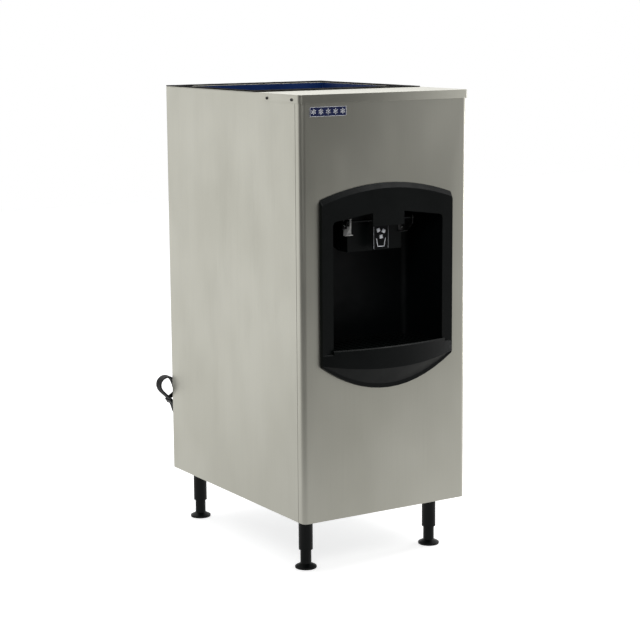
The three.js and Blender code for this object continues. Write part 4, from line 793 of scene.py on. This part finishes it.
strip_edge = 0.0012
strip_sag = 0.0003
strip_wander = 0.0004
strip_step = 0.018
strip_joint = 0.0006
strip_seed = 7
mouth_margin = 0.001


def add_strip(made, start, end, width, bottom, top, chance):
    """A foam strip from one (x, y) point to another, round-edged and laid a little unevenly."""
    a, b = Vector(start), Vector(end)
    along = (b - a).normalized()
    across = Vector((-along.y, along.x))
    count = round((b - a).length / strip_step)
    rings = []
    for i in range(count + 1):
        height = top - bottom - chance.uniform(0, strip_sag)
        half = width / 2 - chance.uniform(0, strip_wander)
        right_side = [
            (half - strip_edge, height), (half - 0.3 * strip_edge, height - 0.3 * strip_edge),
            (half, height - strip_edge), (half, 0),
        ]
        left_side = [(-side, rise) for side, rise in reversed(right_side)]
        place = a + (b - a) * i / count
        ring = []
        for side, rise in left_side + right_side:
            ring.append(made.verts.new((*(place + across * side), bottom + rise)))
        rings.append(ring)
    made.faces.new(rings[0])
    made.faces.new(rings[-1][::-1])
    for before, after in zip(rings, rings[1:]):
        for i in range(len(before)):
            j = (i + 1) % len(before)
            made.faces.new((before[i], before[j], after[j], after[i]))


def make_gasket(materials):
    low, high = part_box("rim_gasket")
    inner = [
        vertex.co for vertex in frame["nodes"]["rim_gasket"].data.vertices
        if low.x + mouth_margin < vertex.co.x < high.x - mouth_margin
    ]
    mouth_half = max(place.x for place in inner)
    mouth_front = min(place.y for place in inner)
    mouth_back = max(place.y for place in inner if place.y < high.y - mouth_margin)
    side_width = high.x - mouth_half

    def fill(made):
        chance = random.Random(strip_seed)
        for side in (-1, 1):
            x = side * (high.x - side_width / 2)
            add_strip(made, (x, low.y), (x, high.y), side_width, low.z, high.z, chance)
        for front, back in ((low.y, mouth_front), (mouth_back, high.y)):
            y = (front + back) / 2
            reach = mouth_half - strip_joint
            add_strip(made, (-reach, y), (reach, y), back - front, low.z, high.z, chance)

    strips = new_piece("gasket_strips", materials["gasket"], "cabinet", fill)
    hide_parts("rim_gasket")


# Screws

trim_screws = [
    "left_front_trim_screw", "left_rear_trim_screw", "right_front_trim_screw", "right_rear_trim_screw",
]
trim_head_height = 0.0032
round_head_radius = 0.0030
round_head_height = 0.0018
hidden_shank = 0.001
chute_screw_across = 0.0195
chute_screw_drop = 0.030
bracket_plate = 0.0015
bracket_screw_shares = (0.22, 0.58)
back_screw_inset = 0.011
back_screw_rows = 6
back_screw_columns = 4
hex_radius = 0.0040
hex_height = 0.0038
hex_washer_radius = 0.0055
screw_edge = 0.0002
small_screw_edge = 0.00015


def make_trim_screws(materials):
    for name in trim_screws:
        low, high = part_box(name)
        side = -1 if "left" in name else 1
        radius = (high.z - low.z) / 2
        tip = max(abs(low.x), abs(high.x))
        root = min(abs(low.x), abs(high.x))
        seat = tip - trim_head_height
        place = (side * seat, (low.y + high.y) / 2, (low.z + high.z) / 2)

        def fill(made):
            matrix = facing(place, (side, 0, 0))
            add_pan_head(made, matrix, radius, trim_head_height, 0.4 * radius, seat - root)

        screw = new_piece(f"{name}_head", materials["dark_screw"], "cabinet", fill)
        soften(screw, screw_edge)
        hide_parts(name)


def make_back_screws(materials):
    """Hexagonal screws along the back panel's edges."""
    left, right = back_low.x + back_screw_inset, back_high.x - back_screw_inset
    bottom, top = back_low.z + back_screw_inset, back_high.z - back_screw_inset

    def fill(made):
        places = []
        for i in range(back_screw_rows):
            z = bottom + (top - bottom) * i / (back_screw_rows - 1)
            places += [(left, z), (right, z)]
        for i in range(1, back_screw_columns):
            x = left + (right - left) * i / back_screw_columns
            places += [(x, bottom), (x, top)]
        for x, z in places:
            matrix = facing((x, back_y, z), (0, 1, 0))
            add_hex_head(made, matrix, hex_radius, hex_height, hex_washer_radius)

    steel = materials["fastener_steel"]
    screws = new_piece("back_panel_screws", steel, "cabinet", fill)
    soften(screws, screw_edge)


def make_round_head_screws(materials):
    """Small screws through the chute's front and the plates of the lever's brackets."""
    chute_low, chute_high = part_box("ice_chute")

    def fill(made):
        places = []
        for side in (-1, 1):
            places.append((side * chute_screw_across, chute_low.y, chute_high.z - chute_screw_drop))
        for name in ("left_lever_bracket", "right_lever_bracket"):
            low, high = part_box(name)
            for share in bracket_screw_shares:
                z = low.z + share * (high.z - low.z)
                places.append(((low.x + high.x) / 2, high.y - bracket_plate, z))
        for place in places:
            matrix = facing(place, (0, -1, 0))
            add_pan_head(made, matrix, round_head_radius, round_head_height, hidden_shank, hidden_shank)

    steel = materials["fastener_steel"]
    screws = new_piece("round_head_screws", steel, "cabinet", fill)
    soften(screws, small_screw_edge)


# Printed plates

print_depth = 0.00012
badge_border = 0.0011
badge_flakes = 5
flake_radius = 0.0085
flake_line = 0.0013
label_line = 0.0022
label_edge = 0.0006
ice_cube_size = 0.0105
cup_top_rise = 0.030
cup_base_rise = 0.007
cup_top_half = 0.0150
cup_base_half = 0.0105

# Right of the label's middle, above its bottom edge, and turned
ice_cubes = [(-0.0085, 0.0535, 0.35), (0.0090, 0.0500, -0.5), (0.0005, 0.0345, 0.15)]


def heading(angle):
    return Vector((math.cos(angle), math.sin(angle)))


def make_badge_print(materials):
    """A pale border and a row of snowflakes on the navy plate."""
    low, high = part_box("badge_plate")
    front = low.y
    half = badge_border / 2

    def bar(made, start, end, width):
        add_bar(made, start, end, width, front - print_depth, front)

    def fill(made):
        for z in (low.z + half, high.z - half):
            bar(made, (low.x, z), (high.x, z), badge_border)
        for x in (low.x + half, high.x - half):
            bar(made, (x, low.z + badge_border), (x, high.z - badge_border), badge_border)
        pitch = (high.x - low.x) / badge_flakes
        for i in range(badge_flakes):
            centre = Vector((low.x + (i + 0.5) * pitch, (low.z + high.z) / 2))
            for arm in range(6):
                angle = math.pi / 2 + arm * math.pi / 3
                bar(made, centre, centre + heading(angle) * flake_radius, flake_line)
                fork = centre + heading(angle) * 0.5 * flake_radius
                for turn in (-1, 1):
                    branch = heading(angle + turn * math.pi / 3) * 0.32 * flake_radius
                    bar(made, fork, fork + branch, 0.8 * flake_line)

    new_piece("badge_print", materials["pale_print"], "cabinet", fill)


def make_label_print(materials):
    """Ice cubes falling into a cup, and pale lines down the plate's edges."""
    low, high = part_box("lever_label_plate")
    front = low.y
    middle = (low.x + high.x) / 2
    cup_top = low.z + cup_top_rise
    cup_base = low.z + cup_base_rise

    def bar(made, start, end, width=label_line):
        add_bar(made, start, end, width, front - print_depth, front)

    def fill(made):
        for x in (low.x + label_edge, high.x - label_edge):
            bar(made, (x, low.z + label_edge), (x, high.z - label_edge), label_edge)
        for side in (-1, 1):
            bar(made, (middle + side * cup_top_half, cup_top), (middle + side * cup_base_half, cup_base))
        base_reach = cup_base_half + label_line / 2
        bar(made, (middle - base_reach, cup_base), (middle + base_reach, cup_base))
        for across, up, tilt in ice_cubes:
            centre = Vector((middle + across, low.z + up))
            corners = []
            for i in range(4):
                corner = heading(tilt + math.pi / 4 + i * math.pi / 2) * ice_cube_size / math.sqrt(2)
                corners.append(centre + corner)
            add_outline(made, corners, front - print_depth, front)

    new_piece("label_print", materials["pale_print"], "lever", fill)


# Back panel louvres

louvre_left = 0.035
louvre_right = 0.185
louvre_bottom = 0.520
louvre_pitch = 0.016
louvre_height = 0.006
louvre_rows = 6
louvre_reach = 0.0055
louvre_sheet = 0.0008
louvre_lap = 0.003
louvre_lip = 0.002
louvre_across_steps = 24
louvre_round_steps = 6


def make_louvres(materials):
    """Pressed hoods over the slots, open at the bottom and closed towards their ends."""

    def fill(made):
        drop = louvre_height + louvre_lip
        for row in range(louvre_rows):
            top = louvre_bottom + row * louvre_pitch + louvre_height + louvre_lap
            grid = []
            for i in range(louvre_across_steps + 1):
                share = i / louvre_across_steps
                x = louvre_left - louvre_lap + (louvre_right - louvre_left + 2 * louvre_lap) * share
                end = min(1, 8 * share, 8 * (1 - share))
                reach = louvre_reach * math.sin(math.pi / 2 * end)
                column = []
                for j in range(louvre_round_steps + 1):
                    angle = math.pi / 2 * j / louvre_round_steps
                    y = back_y + louvre_sheet / 2 + reach * math.sin(angle)
                    column.append(made.verts.new((x, y, top - drop * (1 - math.cos(angle)))))
                grid.append(column)
            for before, after in zip(grid, grid[1:]):
                for j in range(louvre_round_steps):
                    made.faces.new((before[j], after[j], after[j + 1], before[j + 1]))

    hoods = new_piece("louvre_hoods", materials["galvanised_sheet"], "cabinet", fill)
    thick = hoods.modifiers.new("sheet", "SOLIDIFY")
    thick.thickness = louvre_sheet
    thick.offset = 0


# Drain hoses

hose_rib_pitch = 0.005
hose_rib_height = 0.0006
hose_rib_foot = 0.0016
hose_rib_top = 0.0009
hose_wall = 0.0025
hose_plain_end = 0.012
clamp_width = 0.007
clamp_inset = 0.002
clamp_screw_radius = 0.0022
clamp_screw_height = 0.006
clamp_screw_washer = 0.0026


def make_hose(name, materials):
    """A ribbed hose with a steel clamp round each plain end."""
    low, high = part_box(name)
    outer = (high.x - low.x) / 2
    inner = outer - hose_wall
    neck = outer - hose_rib_height
    middle = Vector(((low.x + high.x) / 2, (low.y + high.y) / 2, 0))
    matrix = Matrix.Translation(middle)
    ribbed = high.z - low.z - 2 * hose_plain_end
    ribs = int(ribbed / hose_rib_pitch)

    def fill(made):
        profile = [(inner, low.z), (neck, low.z)]
        for i in range(ribs):
            z = low.z + hose_plain_end + (i + 0.5) * ribbed / ribs
            profile += [
                (neck, z - hose_rib_foot), (outer, z - hose_rib_top),
                (outer, z + hose_rib_top), (neck, z + hose_rib_foot),
            ]
        profile += [(neck, high.z), (inner, high.z)]
        add_turned(made, profile, matrix, sides=32, hollow=True)

    def fill_clamps(made):
        for z in (low.z + clamp_inset, high.z - clamp_inset - clamp_width):
            band_top = z + clamp_width
            band = [(neck, z), (outer, z), (outer, band_top), (neck, band_top)]
            add_turned(made, band, matrix, sides=32, hollow=True)
            forward = outer + clamp_screw_radius / 2
            place = middle + Vector((-clamp_screw_height / 2, -forward, z + clamp_width / 2))
            sideways = facing(place, (1, 0, 0))
            add_hex_head(
                made, sideways, clamp_screw_radius, clamp_screw_height, clamp_screw_washer,
            )

    hose = new_piece(f"{name}_ribbed", materials["drain_hose"], "cabinet", fill)
    new_piece(f"{name}_clamps", materials["fastener_steel"], "cabinet", fill_clamps)
    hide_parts(name)


# Floor, backdrop and lights

floor_half = 9.0
floor_drop = 0.0002
floor_color = 0.82
floor_seen = 0.62

# In reflections the floor and the backdrop go from dim to bright between these places or directions
floor_dim_end = -3.8
floor_bright_end = 1.0
floor_dim = 0.03
floor_bright = 0.97
backdrop_dim_end = -0.33
backdrop_bright_end = 0.36
backdrop_dim = 0.14
backdrop_bright = 1.0

# The bright side is to the object's rear right, as a heading of (x, y)
bright_heading = (0.6, 0.8)

# Round soft lamps: name, place, width in metres and power in watts
lamp_target = Vector((0, 0, 0.8))
lamps = [
    ("key", (-2.6, -3.4, 3.4), 2.0, 60),
    ("fill", (2.2, -1.6, 4.0), 1.6, 20),
    ("top", (0.0, 0.6, 4.0), 4.0, 60),
    ("side", (3.2, 0.1, 0.6), 0.8, 26),
]


def towards_backdrop(tree, place):
    """How far a place or a direction lies along the bright heading."""
    node = add_node(tree, "ShaderNodeVectorMath", operation="DOT_PRODUCT")
    node.inputs[1].default_value = (*bright_heading, 0)
    join(tree, place, node.inputs[0])
    return node.outputs["Value"]


def make_floor():
    """A pale floor with the object's shadow, dimmer towards the front left in reflections only."""
    mesh = bpy.data.meshes.new("floor")
    made = bmesh.new()
    bmesh.ops.create_grid(made, x_segments=1, y_segments=1, size=floor_half)
    made.to_mesh(mesh)
    made.free()
    floor = bpy.data.objects.new("floor", mesh)
    floor.location.z = -floor_drop
    bpy.context.scene.collection.objects.link(floor)
    material = new_material("floor_white", 0.9, specular=0)
    tree = material.node_tree
    shader_input(material, "Emission Color").default_value = (1, 1, 1, 1)
    path = add_node(tree, "ShaderNodeLightPath")
    set_color(material, path.outputs["Is Glossy Ray"], (floor_color,) * 3, (0.0, 0.0, 0.0))
    reflected = span(
        tree, towards_backdrop(tree, place_of(tree)),
        floor_dim_end, floor_bright_end, floor_dim, floor_bright,
    )
    seen = combine(tree, "MULTIPLY", path.outputs["Is Camera Ray"], floor_seen)
    through = combine(tree, "MULTIPLY", path.outputs["Is Transmission Ray"], floor_seen)
    mirrored = combine(tree, "MULTIPLY", path.outputs["Is Glossy Ray"], reflected)
    strength = combine(tree, "MAXIMUM", combine(tree, "MAXIMUM", seen, through), mirrored)
    join(tree, strength, shader_input(material, "Emission Strength"))
    mesh.materials.append(material)


def make_world():
    """A white studio backdrop that is dimmer to the front left."""
    world = bpy.data.worlds.new("studio")
    bpy.context.scene.world = world
    world.use_nodes = True
    tree = world.node_tree
    background = tree.nodes["Background"]
    background.inputs["Color"].default_value = (1, 1, 1, 1)
    where = add_node(tree, "ShaderNodeTexCoord")
    around = span(
        tree, towards_backdrop(tree, where.outputs["Generated"]),
        backdrop_dim_end, backdrop_bright_end, backdrop_dim, backdrop_bright,
    )
    path = add_node(tree, "ShaderNodeLightPath")
    seen = combine(tree, "MAXIMUM", path.outputs["Is Camera Ray"], path.outputs["Is Transmission Ray"])
    join(tree, combine(tree, "MAXIMUM", seen, around), background.inputs["Strength"])


def add_lamp(name, place, size, power):
    data = bpy.data.lights.new(name, "AREA")
    data.shape = "DISK"
    data.size = size
    data.energy = power
    lamp = bpy.data.objects.new(name, data)
    lamp.visible_camera = False
    aim = lamp_target - Vector(place)
    lamp.matrix_world = Matrix.Translation(place) @ aim.to_track_quat("-Z", "Y").to_matrix().to_4x4()
    bpy.context.scene.collection.objects.link(lamp)


def make_lights():
    for name, place, size, power in lamps:
        add_lamp(name, place, size, power)


# The whole object

# The two lever brackets are one steel: the left gets a paler, less metallic copy as painted light, and
# the right the dark screw finish as painted shade
bracket_light_and_shade_finishes = {"left_lever_bracket": "painted_light_bracket", "right_lever_bracket": "dark_screw"}
# Nodes that pieces made here replace
redrawn = [
    "power_cord", "power_plug", "rim_gasket", "tray_drain_hose", "hopper_drain_hose", *trim_screws,
]

make_camera()
finishes = make_materials()
plug_pieces = make_plug(finishes)
make_cord(finishes)
for node_name, slot_name in slots_of_nodes.items():
    if node_name not in redrawn:
        dress_node(node_name, finishes[bracket_light_and_shade_finishes.get(node_name, slot_name)])
make_gasket(finishes)
make_trim_screws(finishes)
make_back_screws(finishes)
make_round_head_screws(finishes)
make_badge_print(finishes)
make_label_print(finishes)
make_louvres(finishes)
make_hose("tray_drain_hose", finishes)
make_hose("hopper_drain_hose", finishes)
make_floor()
make_world()
make_lights()
bpy.context.scene.view_settings.view_transform = "Standard"
